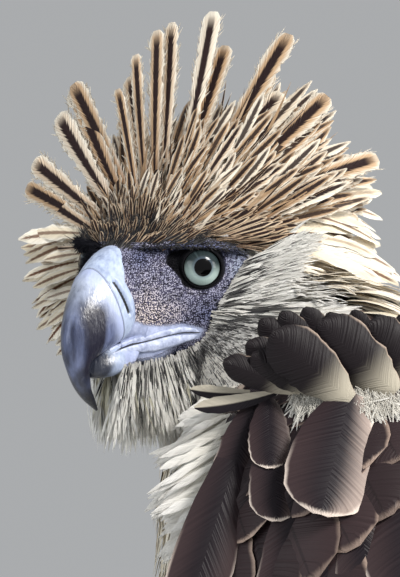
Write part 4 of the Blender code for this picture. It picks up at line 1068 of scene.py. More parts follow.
# %% [markdown]
# An eagle's eye is a wet ball with a pale iris, and it sits deep under the brow in a ring of black
# skin. The ball could have a clear cornea over a painted iris, but clear layers don't survive every
# export, so one ball bulges a little at the front, carries the iris in its colour and has a clear
# coat. Its colour follows the angle from the eye's axis, and the brow's shade over its upper part.

# %% Eyes
EYE_FINISH, shade, shader = finish_of("wet_eye", 0.2, coat=0.45, specular=0.06)
shader.inputs["Coat Roughness"].default_value = 0.02
polar = shade.attribute("polar")
streaks = shade.node(
    "ShaderNodeTexNoise", {"W": shade.attribute("round") * 11.0, "Scale": 4.0, "Detail": 3.0},
    noise_dimensions="1D",
)
# Painted shade: the iris is near-black at its top, where the brow's shadow falls, and pale below.
iris = shade.attribute("low").mix((0.012, 0.018, 0.019), (0.52, 0.66, 0.62))
iris = (streaks.rise(0.35, 0.75) * 0.30).mix(iris, (0.10, 0.145, 0.155))
iris = ((1.0 - polar.rise(17.0, 26.0)) * 0.65).mix(iris, (0.085, 0.115, 0.15))
eye_colour = polar.rise(17.2, 18.6).mix((0.0008, 0.0008, 0.001), iris)
eye_colour = polar.rise(39.0, 42.0).mix(eye_colour, (0.003, 0.003, 0.004))
wire(eye_colour, shader, "Base Color")


def eye_frame(side):
    """The eye's axis, the way across it and the way up, in the head's frame."""
    axis = np.array([side * math.sin(EYE_AXIS_YAW), -math.cos(EYE_AXIS_YAW), 0.0])
    across = np.cross(axis, [0.0, 0.0, 1.0])
    return axis, across, np.cross(across, axis)


for name, side in (("eye_ball_left", 1.0), ("eye_ball_right", -1.0)):
    axis, across, rise = eye_frame(side)
    polar = np.radians(np.concatenate([np.linspace(0.05, 46.0, 60), np.linspace(48.0, 179.5, 40)]))[:, None]
    turn = np.linspace(0.0, 2.0 * math.pi, 97)[None, :]
    bulge = 0.0007 * (1.0 - soft_step(np.degrees(polar), 20.0, 44.0))
    radius = EYE_RADIUS + bulge
    spoke = np.cos(turn)[..., None] * across + np.sin(turn)[..., None] * rise
    flat = (radius * np.sin(polar))[..., None] * spoke
    points = EYE_CENTRE * (side, 1.0, 1.0) + flat + (radius * np.cos(polar))[..., None] * axis
    # How far down the ball a point lies, a little turned to one side, for the iris's painted shade under the
    # brow.
    lit = -np.sin(turn) * np.sin(polar) + 0.12 * np.cos(turn) * np.sin(polar)
    numbers = {
        "polar": np.degrees(polar), "round": np.cos(turn) + 2.0 * np.sin(turn),
        "low": soft_step(lit, -0.26, 0.40),
    }
    ball = sheet(name, from_head(points), EYE_FINISH, numbers, turn / (2.0 * math.pi), polar / math.pi, True)
    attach(ball, "root")
    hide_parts(name.replace("_ball", ""))
print("eyes", round(2000.0 * EYE_RADIUS, 1), "mm across")

# %% [markdown]
# The lids are a ring of bare skin that hugs the ball and runs out into the face. It could be cut
# into the skin of the head, but a ring of its own can follow the ball closely. Each spoke of the
# ring starts between lid and ball, turns over the lid's edge and ends on the skull, where a ray
# along the eye's axis meets it. The upper spokes run back under the brow instead, so that the brow
# stands over the eye.

# %% Eyelids
LID_FINISH, shade, shader = finish_of("eyelid", 0.7, specular=0.12)
lid_spot = 1.0 - shade.pebbles(1700.0).rise(0.34, 0.60)
lid_grey = lid_spot.mix((0.026, 0.026, 0.050), (0.20, 0.185, 0.25))
wire(shade.attribute("grey").mix((0.0035, 0.0035, 0.005), lid_grey), shader, "Base Color")
bump(lid_spot, shader, 0.0003)


LID_EDGE = ((0.0, -0.0010), (0.0001, 0.0005), (0.0004, 0.0009), (0.0008, 0.0008), (0.0013, 0.0001))


def tree_of(*grids):
    """A search tree over grids of points, for rays that look for a surface."""
    points, faces = [], []
    for grid in grids:
        first = len(points)
        faces += [tuple(face) for face in (grid_quads(1, *grid.shape[:2]) + first).tolist()]
        points += [Vector(point) for point in grid.reshape(-1, 3)]
    return BVHTree.FromPolygons(points, faces)


def cast(tree, starts, ways):
    """Where rays from the starts meet the tree's surface, and the ways out there; a miss is not a number."""
    points, normals = np.full(np.shape(starts), np.nan), np.zeros(np.shape(starts))
    for index, (start, way) in enumerate(zip(starts, np.broadcast_to(ways, np.shape(starts)))):
        point, normal = tree.ray_cast(Vector(start), Vector(way))[:2]
        if point is not None:
            points[index] = point
            normals[index] = normal if normal.dot(Vector(way)) < 0.0 else -normal
    return points, normals


head_tree = tree_of(head_points)
for name, side in (("lids_left", 1.0), ("lids_right", -1.0)):
    axis, across, rise = eye_frame(side)
    turn = np.linspace(0.0, 2.0 * math.pi, 97)
    spoke = np.cos(turn)[:, None] * across + np.sin(turn)[:, None] * rise
    opening = 0.00765 * (1.0 - 0.06 * np.clip(np.sin(turn), 0.0, 1.0) ** 2)[:, None]
    reach = (0.0092 + 0.0014 * np.cos(turn) ** 2)[:, None]
    centre = EYE_CENTRE * (side, 1.0, 1.0)
    landed = cast(head_tree, from_head(centre + spoke * reach + axis * 0.03), HEAD_TURN @ -axis)[0]
    tucked = from_head(centre + spoke * 0.0100 + axis * 0.004)
    outer = landed + (tucked - landed) * soft_step(np.sin(turn), 0.15, 0.55)[:, None]
    rings = []
    for wide, tall in LID_EDGE:
        flat = opening + wide
        on_ball = np.sqrt(np.maximum((EYE_RADIUS + 0.0006) ** 2 - flat**2, 0.0))
        rings.append(from_head(centre + spoke * flat + axis * (on_ball + tall)))
    start = rings[-1]
    for share in (0.30, 0.60, 0.85, 1.0):
        sag = 0.0006 * math.sin(math.pi * share)
        rings.append(start + (outer - start) * share - HEAD_TURN @ axis * (sag + 0.0005 * share**4))
    points = np.array(rings)
    rows, columns = points.shape[:2]
    outward = np.broadcast_to(np.linspace(0.0, 1.0, rows)[:, None], (rows, columns))
    grey = soft_step(outward, 0.50, 0.75) * soft_step(-np.sin(turn), 0.35, 0.8)
    lids = sheet(name, points, LID_FINISH, {"grey": grey}, turn / (2.0 * math.pi), outward)
    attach(lids, "root")
print("lids reach", round(1000.0 * float(reach.max()), 1), "mm from the eye's axis")

# %% [markdown]
# The bill is horn over bone, blue-grey, with a waxy pale cere at its base and a near-black hook.
# Its two halves are swept through the solids' own sections, many times finer. The colours follow
# how far forward and how high a point lies, so a dark band down its side fades softly and the dark
# hook fades as it does on the real bill. The upper ridge and a band ahead of the cere are paler,
# partly as pale horn and partly as painted highlight. The nostril is a slit in the cere, pressed in,
# with its opening painted black as shade.

# %% Bill finish
HORN_FINISH, shade, shader = finish_of("bill_horn", 0.34, coat=0.08)
onward = shade.attribute("onward")
high = shade.attribute("high")
grain = shade.noise(210.0, 5.0, (1.0, 1.0, 0.22))
fine = shade.noise(760.0, 3.0, (1.0, 1.0, 0.40))
horn = (grain * 3.4 - 1.2).mix((0.026, 0.032, 0.066), (0.150, 0.182, 0.320))
# Paler upper bill: partly the horn's own pale ridge, partly a painted highlight.
ridge_pale_and_highlight = high.rise(-24.0, 0.0) * (grain * 1.2 + fine * 0.4 - 0.15)
horn = ridge_pale_and_highlight.mix(horn, (0.62, 0.69, 0.84))
border = 43.6 - (shade.maths("MAXIMUM", 1.0 - high, 0.0) ** 1.55) * 0.040
cere = (border - onward + (fine - 0.5) * 0.6).rise(-0.25, 0.25)
wax = (grain * 1.4 + fine * 0.9 - 0.60).mix((0.20, 0.25, 0.40), (0.58, 0.68, 0.87))
horn = cere.mix(horn, wax)
# A paler band ahead of the cere's edge, low on the side: partly pale horn, partly a painted highlight.
side_pale_and_highlight = (border - onward).rise(-7.0, -0.5) * (1.0 - cere) * high.rise(-38.0, -26.0) * 0.9
horn = side_pale_and_highlight.mix(horn, (0.46, 0.53, 0.78))
edge = (1.0 - abs(border - onward).rise(0.1, 0.50)) * 0.55
horn = edge.mix(horn, (0.085, 0.095, 0.15))
# A dark band down the side of the bill near its front, fading softly.
dark_side_band = 1.0 - abs(onward - 50.8 - (high + 26.0) * 0.04).rise(1.8, 6.4)
dark_side_band = dark_side_band * high.rise(-46.0, -40.0) * (1.0 - high.rise(-18.0, -11.0)) * (grain * 1.0 + fine * 0.6 + 0.5)
horn = dark_side_band.mix(horn, (0.016, 0.016, 0.030))
hook = (1.0 - (high + (grain - 0.5) * 12.0).rise(-52.0, -36.0)) * shade.attribute("upper")
horn = hook.mix(horn, (0.010, 0.011, 0.019))
horn = ((1.0 - shade.attribute("upper")) * 0.85).mix(horn, wax)
front = (onward + (fine - 0.5) * 3.0).rise(39.0, 44.0) * (1.0 - shade.attribute("upper"))
horn = (front * 0.94).mix(horn, (0.009, 0.010, 0.018))
# Painted shade: the nostril's opening is near-black, for the depth of the pressed-in slit.
slit = 1.0 - shade.attribute("slit").rise(0.55, 0.85)
horn = slit.mix(horn, (0.002, 0.002, 0.003))
wire(horn, shader, "Base Color")
wire(cere * 0.14 + fine * 0.22 + grain * 0.10 + 0.16, shader, "Roughness")
bump(grain * 0.6 + fine * 0.5 - edge * 0.9, shader, 0.0006)
print("bill finish ready")


# %% [markdown]
# Each half of the bill is swept through its sections. The nostril could be cut with a boolean, but on
# so fine a grid it is enough to press the points in along its line and raise a low rim round it. The
# root sinks under the skin of the lores, so that horn and skin meet without a gap.

# %% Bill
def sweep_bill(name, rows, steps, node, upper):
    """Half of the bill as a piece, closed at its tip; gives its points back."""
    turn = np.linspace(-math.pi, math.pi, 145)[None, :]
    share = np.linspace(0.0, 1.0, steps)[:, None]
    points, inward = bill_surface(rows, share, turn)
    onward, high = -points[..., 1], points[..., 2]
    slit = distance_to(NOSTRIL_LINE, onward, high) if upper else np.full(onward.shape, 0.01)
    slit = np.where(np.abs(points[..., 0]) < 0.004, 0.01, slit)
    points = points - inward * (0.0011 * (1.0 - soft_step(slit, 0.0004, 0.0011)))[..., None]
    behind = np.interp(high, LORE_EDGE[:, 1], LORE_EDGE[:, 0]) - onward
    points = points - inward * (0.0045 * soft_step(behind, 0.0002, 0.0050))[..., None]
    rim = (1.0 - soft_step(slit, 0.0013, 0.0032)) * soft_step(slit, 0.0009, 0.0013)
    points = points + inward * (0.0004 * rim)[..., None]
    points = points + np.array([0.0, -0.0005, 0.0 if upper else -0.0003])
    cap = points[-1:].mean(axis=1, keepdims=True) + 0.0 * points[-1:]
    points = np.concatenate([points, cap])
    numbers = {
        "onward": np.concatenate([onward, onward[-1:]]) * 1000.0,
        "high": np.concatenate([high, high[-1:]]) * 1000.0,
        "slit": np.concatenate([slit, slit[-1:]]) * 1000.0,
        "upper": np.full((steps + 1, turn.shape[1]), float(upper)),
    }
    points = from_head(points)
    item = sheet(name, points, HORN_FINISH, numbers, (turn + math.pi) / (2.0 * math.pi),
                 np.concatenate([share, share[-1:]]))
    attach(item, "root")
    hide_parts(node)
    return points


upper_bill = sweep_bill("upper_mandible", UPPER_BILL, 210, "bill_upper", True)
lower_bill = sweep_bill("lower_mandible", LOWER_BILL, 90, "bill_lower", False)
face_tree = tree_of(head_points, upper_bill, lower_bill)


def on_face(ahead, up, side):
    """Points of the face as seen from its side, at distances forward and up, and the ways out there."""
    ahead, up, side = np.broadcast_arrays(*(np.asarray(value, float) for value in (ahead, up, side)))
    flat = from_head(np.stack([0.08 * side, -ahead, up], axis=-1))
    ways = np.stack([-side, 0.0 * side, 0.0 * side], axis=-1) @ HEAD_TURN.T
    points, normals = cast(face_tree, flat.reshape(-1, 3), ways.reshape(-1, 3))
    return points.reshape(flat.shape), normals.reshape(flat.shape)


print("bill reaches", round(1000.0 * float(UPPER_BILL[:, 0].max()), 1), "mm ahead of the eyes")

# %% [markdown]
# The mouth runs far back under the eye, and along it the horn turns into soft pale lips, one on
# each jaw. They are slim rounded strips that follow the mouth's line over the side of the head.

# %% Lips
GAPE_FINISH, shade, shader = finish_of("gape", 0.42, coat=0.05)
flesh_tone = shade.noise(330.0, 4.0)
gape_colour = (flesh_tone * 2.4 - 0.7).mix((0.24, 0.28, 0.43), (0.60, 0.66, 0.85))
# Painted shade: where the lips meet, and on the thin strip between them, the colour is near-black for the
# shade in the mouth's crack.
gape_colour = shade.attribute("seam").mix(gape_colour, (0.006, 0.006, 0.012))
wire(gape_colour, shader, "Base Color")
bump(flesh_tone, shader, 0.0007)


def lip(name, side, over, talls, proud):
    """A rounded strip over or under the mouth, from the side of the bill back to the gape."""
    steps = 110
    ahead = np.linspace(0.0412, 0.0012, steps)
    share = np.linspace(0.0, 1.0, steps)
    tall = np.interp(share, (0.0, 0.25, 0.5, 0.8, 0.95, 1.0), talls)
    turn = np.linspace(0.0, 2.0 * math.pi, 41)[None, :]
    middle = mouth_height(ahead) + over * (tall + 0.0001)
    up = middle[:, None] + tall[:, None] * np.sin(turn)
    base, _ = on_face(ahead, middle, side)
    for _ in range(14):
        base[1:-1] = (base[:-2] + base[1:-1] + base[2:]) / 3.0
    boxy = np.sign(np.cos(turn)) * np.abs(np.cos(turn)) ** 0.6
    out = (proud * np.clip(tall / max(talls), 0.0, 1.0))[:, None] * boxy - 0.0006
    points = base[:, None] + (out[..., None] * np.array([side, -0.15, 0.0])) @ HEAD_TURN.T
    points[..., 2] += up - middle[:, None]
    # The faces of the lips that meet get the painted shade of the mouth's crack.
    facing = -over * np.sin(turn)
    seam = soft_step(facing, 0.80, 0.97) if over else 1.0
    item = sheet(name, points, GAPE_FINISH, {"seam": seam}, turn / (2.0 * math.pi), share[:, None])
    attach(item, "root")


for word, side in (("left", 1.0), ("right", -1.0)):
    lip("gape_upper_" + word, side, 1.0, (0.0007, 0.0009, 0.0013, 0.0014, 0.0009, 0.0004), 0.0013)
    lip("gape_lower_" + word, side, -1.0, (0.0006, 0.0016, 0.0025, 0.0024, 0.0014, 0.0004), 0.0017)
    # A thin near-black strip along the mouth's line: painted shade in the crack between the lips.
    lip("gape_line_" + word, side, 0.0, (0.00016, 0.00030, 0.00026, 0.00026, 0.00026, 0.0002), 0.0010)
print("lips", 4)

# %% [markdown]
# A claw is a curved cone of black horn. The solids have it with six sides, and the same curve is
# swept again with more. It stays just above the floor, as the weight is on the toes' pads.

# %% Claws
CLAW_FINISH, shade, shader = finish_of("claw_horn", 0.24, coat=0.3)
claw_grain = shade.noise(260.0, 3.0, (1.0, 1.0, 2.0))
wire(claw_grain.mix((0.006, 0.006, 0.007), (0.035, 0.032, 0.034)), shader, "Base Color")
bump(claw_grain, shader, 0.0003)
CLAW_RISE = math.radians(18.0)
UPWARDS = np.array([0.0, 0.0, 1.0])
for word, side in (("left", 1.0), ("right", -1.0)):
    for toe, heading, length, radius, reach in TOES:
        turn = math.radians(heading)
        onward = np.array([math.sin(turn), -math.cos(turn), 0.0])
        across = np.array([onward[1], -onward[0], 0.0])
        share = np.linspace(0.0, 1.0, 28)[:, None, None]
        swing = np.radians(-18.0 + 118.0 * share)
        bow = reach / 1.55
        start = FOOT + SHIFT + onward * (length - 0.003) + np.array([0.0, 0.0, 0.58 * radius])
        centre = start + onward * (bow * (np.sin(swing) + math.sin(CLAW_RISE)))
        centre = centre + UPWARDS * (bow * (np.cos(swing) - math.cos(CLAW_RISE)))
        thick = 0.64 * radius * (1.0 - share) ** 0.75 + 0.0003
        rise = UPWARDS * np.cos(swing) + onward * np.sin(swing)
        ring = np.linspace(0.0, 2.0 * math.pi, 25)[None, :, None]
        points = centre + rise * (thick * np.cos(ring)) + across * (0.8 * thick * np.sin(ring))
        drop = start[2] - points[..., 2].min()
        if points[..., 2].min() < 0.0005:
            below = start[2] - points[..., 2]
            sunk = below > 0.55 * radius
            points[..., 2] = np.where(sunk, start[2] - below * (start[2] - 0.0006) / drop, points[..., 2])
        points = sideways(points, side)
        claw = sheet("talon_" + toe + "_" + word, points, CLAW_FINISH, {}, ring[..., 0] / (2.0 * math.pi),
                     share[..., 0])
        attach(claw, "root")
        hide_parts("claw_" + toe + "_" + word)
print("claws", 2 * len(TOES))

# %% [markdown]
# The camera stands level with the eye, a little behind the bird's left side, far off with a long
# lens. It is placed before the feathers, because the ruffled feathers of the shoulder are set by
# where they show in the picture: millimetres right of the left eye and above it.

# %% The camera's place
CAMERA_AZIMUTH = math.radians(108.0)
CAMERA_RISE = math.radians(2.0)
CAMERA_DISTANCE = 2.5
MILLIMETRES_PER_PIXEL = 0.40
IMAGE_WIDTH, IMAGE_HEIGHT = 400, 577
EYE_PIXEL = (203.0, 267.5)
camera_back = np.array([
    math.sin(CAMERA_AZIMUTH) * math.cos(CAMERA_RISE), -math.cos(CAMERA_AZIMUTH) * math.cos(CAMERA_RISE),
    math.sin(CAMERA_RISE),
])
camera_right = unit(np.cross([0.0, 0.0, 1.0], camera_back))
camera_up = np.cross(camera_back, camera_right)
eye_front = from_head(EYE_CENTRE + EYE_RADIUS * eye_frame(1.0)[0])
aim = eye_front + camera_right * ((0.5 * IMAGE_WIDTH - EYE_PIXEL[0]) * MILLIMETRES_PER_PIXEL / 1000.0)
aim = aim - camera_up * ((0.5 * IMAGE_HEIGHT - EYE_PIXEL[1]) * MILLIMETRES_PER_PIXEL / 1000.0)
camera_place = aim + camera_back * CAMERA_DISTANCE


def across_picture(slope):
    """Ways in the picture's plane, at slopes in radians from its right upwards."""
    return camera_right * np.cos(slope)[:, None] + camera_up * np.sin(slope)[:, None]


def seen(right, up, over):
    """Points of the body that show right of the eye and above it, in millimetres, raised to the camera."""
    right, up, over = np.broadcast_arrays(np.asarray(right, float), up, over)
    target = eye_front + (right[..., None] * camera_right + up[..., None] * camera_up) / 1000.0
    hits, _ = cast(skin_tree, np.broadcast_to(camera_place, target.shape), unit(target - camera_place))
    depth = np.where(np.isnan(hits[..., :1]), np.nanmedian((hits - target) @ camera_back), 0.0)
    hits = np.where(np.isnan(hits), target + camera_back * depth, hits)
    return hits + camera_back * over[..., None]


print("camera stands at", camera_place.round(3))

# %% [markdown]
# The crest is what names this eagle: long stiff feathers that it spreads in a fan round its face.
# They could all be scattered by chance, but a raised crest is read one feather at a time, so the
# long ones are set by their tips, in millimetres to the left of the head, behind the eyes and above
# them, with their widths. Shorter ones fill the fan between them by chance, and the shortest lie
# flat on the crown.

# %% Long crest feathers
CREST_TIPS = np.array([
    (3.4, 45.0, 102.6, 8.6), (-13.0, 38.0, 99.0, 7.0), (-20.5, 34.0, 95.0, 7.4), (-27.5, 28.0, 87.0, 6.0),
    (-23.2, 14.0, 72.2, 5.2), (-51.2, 24.0, 73.8, 9.6), (-56.6, 22.0, 71.4, 11.0), (-61.6, 18.0, 60.2, 10.6),
    (-66.2, 14.0, 40.6, 9.6), (-69.2, 12.0, 31.4, 8.6), (-59.9, 8.0, 25.4, 7.6), (-67.4, 10.0, 5.8, 2.6),
    (-61.5, 12.0, 1.4, 7.0), (-60.4, 14.0, -5.4, 7.4), (4.3, 48.0, 88.6, 8.4), (24.6, 60.0, 94.6, 10.4),
    (23.1, 58.0, 71.8, 9.4), (44.1, 66.0, 68.6, 10.0), (38.0, 68.0, 63.0, 8.4), (34.0, 72.0, 56.6, 8.2),
    (60.9, 74.0, 45.8, 9.2), (54.9, 78.0, 38.2, 6.0), (38.2, 70.0, 33.4, 7.4), (-54.3, 20.0, 60.2, 6.4),
    (-38.0, 40.0, 78.0, 8.4), (-30.0, 54.0, 84.0, 8.4), (-8.0, 62.0, 88.0, 8.6), (12.0, 70.0, 78.0, 8.6),
    (-48.0, 52.0, 62.0, 8.6), (-58.0, 44.0, 40.0, 8.4), (-20.0, 74.0, 70.0, 8.4), (48.0, 84.0, 18.0, 8.0),
    (-58.0, 16.0, -12.0, 6.6), (-54.0, 16.0, -19.0, 6.0), (-50.0, 16.0, -25.0, 5.4), (-56.0, 10.0, 14.0, 7.0),
])


ROOT_DEPTH = -0.002


def crest_roots(left, back, up):
    """Where feathers with their tips there grow from the skull, and the way out there."""
    around = 0.74 * np.arctan2(left, up + 8.0)
    forward = -(0.60 * back - 9.0) / 1000.0
    return SKULL.at(skull_place(forward), 0.5 * math.pi - around, ROOT_DEPTH)[:2] + (around, forward)


chance = np.random.default_rng(21)
head_forward = HEAD_TURN @ np.array([0.0, -1.0, 0.0])
head_left = HEAD_TURN @ np.array([1.0, 0.0, 0.0])
crest = Coat("crest_feathers", CREST_FINISH, "crest_feathers")
left, back, up, width = CREST_TIPS.T
roots, outward, around, forward = crest_roots(left, back, up)
tips = from_head(np.stack([left, back, up], axis=-1) / 1000.0)
length = np.linalg.norm(tips - roots, axis=-1)
grids, u = stand(roots, tips - roots, head_forward + 0.25 * outward, length, width / 1000.0, chance, SQUARE,
                 rows=34, columns=9, bend=chance.uniform(-0.07, 0.03, len(tips)), cup=0.10, fray=0.16,
                 sweep=chance.uniform(-0.05, 0.05, len(tips)))
crest.add(grids, u, chance.uniform(0.1, 0.9, len(tips)), around, forward, 1.0)
long_grids, long_around, long_forward = grids, around, forward
print("long crest feathers", len(tips), "up to", round(1000.0 * float(length.max())), "mm")

# %% [markdown]
# Between the long feathers the real crest is dense with shorter ones. Hundreds of rows of numbers
# would say no more than a few limits do, so their places, leans and lengths are drawn by chance, and
# only the limits follow the crown.

# %% Shorter crest feathers between them
count = 580
share = chance.uniform(0.0, 1.0, count) ** 0.8
forward = 0.015 - 0.074 * share
around = np.radians(chance.uniform(-1.0, 1.0, count) * (38.0 + 20.0 * np.minimum(share * 2.0, 1.0)))
lean = np.radians(26.0 + 44.0 * share**1.3 + chance.uniform(-8.0, 8.0, count))
length = (0.016 + 0.056 * np.minimum(share * 1.7, 1.0)) * (1.0 - 0.55 * np.abs(around / 1.6) ** 2)
length = length * chance.uniform(0.52, 0.96, count)
roots, outward, _ = SKULL.at(skull_place(forward), 0.5 * math.pi - around, ROOT_DEPTH)
direction = outward * np.cos(lean)[:, None] - head_forward * np.sin(lean)[:, None]
direction = direction + chance.normal(0.0, 0.06, (count, 3))
width = 0.0020 + 0.078 * length
grids, u = stand(roots, direction, outward * 0.8 + head_forward, length, width, chance, LANCE, rows=18,
                 columns=5, bend=chance.uniform(-0.22, 0.04, count), fray=0.20, cup=0.10,
                 sweep=chance.uniform(-0.12, 0.12, count))
crest.add(grids, u, chance.uniform(0.0, 1.0, count), around, forward, chance.uniform(0.92, 1.0, count))
crest.make()

# %% [markdown]
# The edges of a raised crest are frayed, because single barbs have come loose from the vanes. A
# texture could hint at them, but not where they stand against the light. So short strands start at
# points of the feathers' own edges, and thin wisps fill the gaps between the feathers.

# %% Loose barbs and thin wisps in the crest
def barbs(grids, count, reach, chance):
    """Loose barbs along the edges of feathers, as grids, with the number of the feather of each."""
    feather = chance.integers(0, len(grids), count)
    edge = np.where(chance.random(count) < 0.5, 0, grids.shape[2] - 1)
    row = (chance.uniform(0.25, 0.97, count) * (grids.shape[1] - 1)).astype(int)
    start, onward = grids[feather, row, edge], grids[feather, row + 1, edge]
    out = unit(start - grids[feather, row, grids.shape[2] // 2])
    way = unit(onward - start) + out * chance.uniform(0.15, 0.60, count)[:, None]
    length = reach * chance.uniform(0.4, 1.0, count)
    made, u = stand(start - out * 0.0004, way, head_forward + 0.0 * start, length, 0.00042, chance, rows=4,
                    bend=chance.uniform(-0.2, 0.2, count), **STRAND)
    return made, u, feather


loose = Coat("crest_barbs", CREST_FINISH, "crest_feathers")
for vanes, count, reach, darkest, sides, places in (
    (long_grids, 3200, 0.0052, 0.5, long_around, long_forward), (grids, 7000, 0.0040, 0.2, around, forward),
):
    made, u, feather = barbs(vanes, count, reach, chance)
    tone = chance.uniform(darkest, 1.0, count)
    loose.add(made, 0.9 + 0.0 * u, tone, sides[feather], places[feather], 0.0)
count = 1500
feather = chance.integers(0, len(direction), count)
way = direction[feather] + chance.normal(0.0, 0.10, (count, 3))
start = roots[feather] + chance.normal(0.0, 0.002, (count, 3))
reach = length[feather] * chance.uniform(0.5, 1.02, count)
made, u = stand(start, way, outward[feather] + head_forward, reach, chance.uniform(0.0007, 0.0017, count),
                chance, WISP, rows=12, columns=2, cup=0.0, fray=0.15, bend=chance.uniform(-0.22, 0.08, count),
                sweep=chance.uniform(-0.14, 0.14, count))
loose.add(made, u * 0.5, chance.uniform(0.0, 1.0, count), around[feather], forward[feather],
          (chance.random(count) < 0.55) * 1.0)
loose.make()


# %% [markdown]
# From the bill back over the crown the feathers are small, short and streaked, and they point away
# from the bill. Rows would show there as lines, so they are scattered: rays from outside find the
# surface, and every feather leaves its root away from the bill.

# %% Small feathers on the crown and the forehead
def radiating(roots, outward, lift):
    """Ways along the surface that lead away from the root of the bill, lifted off the surface a little."""
    away = unit(roots - from_head([0.0, -0.036, -0.004]))
    along = unit(away - outward * (away * outward).sum(axis=-1, keepdims=True))
    return along + outward * lift[..., None]


crown = Coat("crown_feathers", CROWN_FINISH, "crest_feathers")
count = 9000
forward = 0.0275 - 0.085 * chance.uniform(0.0, 1.0, count) ** 1.35
around = np.radians(chance.uniform(-1.0, 1.0, count) * 112.0)
middle = np.stack([0.0 * forward, -forward, np.full(count, -0.004)], axis=-1)
outwards = np.stack([np.sin(around), 0.0 * forward, np.cos(around)], axis=-1)
roots, outward = cast(face_tree, from_head(middle + 0.10 * outwards), -outwards @ HEAD_TURN.T)
place = to_head(roots)
brow_line = np.interp(forward, BROW_SHELF[:, 0], BROW_SHELF[:, 1], left=0.0035)
keep = ~np.isnan(roots[:, 0])
clear = np.where(forward > 0.012, 0.0004, 0.0030) + chance.uniform(-0.0008, 0.0008, count)
keep &= place[:, 2] > brow_line + clear
keep &= (forward < 0.0262) | (np.abs(place[:, 0]) < 0.006)
roots, outward, forward, around = kept(keep, roots, outward, forward, around)
roots = roots - outward * 0.0006
count = len(roots)
length = (0.0075 + 0.020 * soft_step(-forward, -0.020, 0.030)) * chance.uniform(0.7, 1.2, count)
way = radiating(roots, outward, chance.uniform(0.10, 0.42, count)) + chance.normal(0.0, 0.07, (count, 3))
grids, u = stand(roots, way, outward, length, 0.0012 + 0.055 * length, chance, STRAP, rows=6, columns=3,
                 cup=0.15, bend=-0.10, fray=0.12)
crown.add(grids, u, chance.uniform(0.0, 0.9, count), around, forward, 1.0)
crown.make()

# %% [markdown]
# Behind the eye the streaked crest gives way to soft white feathers that sweep back over the side
# of the neck and the nape. On the real bird they are so fine that single ones hardly show, so they
# are thin wisps in their thousands, and only the long plumes of the nape keep a brown streak.


# %% Cheek feathers and nape plumes
def back_along(outward, slope):
    """Ways back along the head's side at a slope up, in degrees as the picture shows it."""
    back = unit(-head_forward - outward * (-head_forward * outward).sum(axis=-1, keepdims=True))
    rise = UPWARDS - outward * outward[..., 2:3]
    slope = np.radians(slope)[..., None]
    return unit(back * np.cos(slope) / 0.84 + unit(rise) * np.sin(slope))


nape = Coat("nape_feathers", NAPE_FINISH, "white_feathers")
cheek = Coat("cheek_feathers", WHITE_FINISH, "white_feathers")
count = 7600
ahead = chance.uniform(-0.070, -0.0060, count)
up = chance.uniform(-0.056, 0.016, count)
side = np.where(chance.random(count) < 0.62, 1.0, -1.0)
roots, outward = on_face(ahead, up, side)
front_edge = np.interp(up, (-0.04, -0.02, -0.01, 0.002, 0.012), (-0.004, -0.008, -0.013, -0.018, -0.024))
keep = ~np.isnan(roots[:, 0]) & (ahead < front_edge)
roots, outward, ahead, up = kept(keep, roots, outward, ahead, up)
slope = np.interp(up, (-0.056, -0.040, -0.020, -0.004, 0.010), (-78.0, -55.0, -24.0, 4.0, 12.0))
slope = slope + chance.normal(0.0, 7.0, len(up))
length = (0.013 + 0.20 * (-ahead - 0.010)) * chance.uniform(0.8, 1.3, len(up))
way = back_along(outward, slope) + outward * chance.uniform(0.06, 0.22, len(up))[:, None]
width = chance.uniform(0.0010, 0.0020, len(up))
grids, u = stand(roots - outward * 0.0008, way, outward, length, width, chance, bend=-0.16,
                 sweep=chance.uniform(-0.12, 0.12, len(up)), **SOFT)
cheek.add(grids, u, chance.uniform(0.3, 1.0, len(up)), ahead, up, 0.0)
cheek.make()

count = 1500
ahead = chance.uniform(-0.068, -0.017, count)
up = chance.uniform(-0.034, 0.036, count)
side = np.where(chance.random(count) < 0.6, 1.0, -1.0)
roots, outward = on_face(ahead, up, side)
keep = ~np.isnan(roots[:, 0]) & (chance.random(count) < 0.45 + 14.0 * (up + 0.012)) & (ahead < -0.022)
roots, outward, ahead, up = kept(keep, roots, outward, ahead, up)
slope = np.interp(up, (-0.034, -0.010, 0.008, 0.022, 0.036), (-24.0, -8.0, 0.0, 8.0, 16.0))
slope = slope + chance.normal(0.0, 6.0, len(up))
length = np.interp(up, (-0.034, 0.0, 0.036), (0.044, 0.068, 0.084)) * chance.uniform(0.60, 1.1, len(up))
way = back_along(outward, slope) + outward * chance.uniform(0.14, 0.44, len(up))[:, None]
grids, u = stand(roots - outward * 0.001, way, outward, length, 0.0020 + 0.060 * length, chance, STRAP,
                 rows=14, columns=5, cup=0.12, bend=chance.uniform(-0.20, -0.06, len(up)), fray=0.22,
                 droop=chance.uniform(0.14, 0.34, len(up)), sweep=chance.uniform(-0.10, 0.10, len(up)))
nape.add(grids, u, chance.uniform(0.2, 1.0, len(up)), ahead, up,
         (chance.random(len(up)) < 0.55) * chance.uniform(0.5, 1.0, len(up)))
nape.make()

# %% [markdown]
# The bird's other cheek is ruffled, and its feathers show beyond the forehead and the bill. They are
# few and each is seen, so they are broader than the down of the near cheek and are turned outwards.

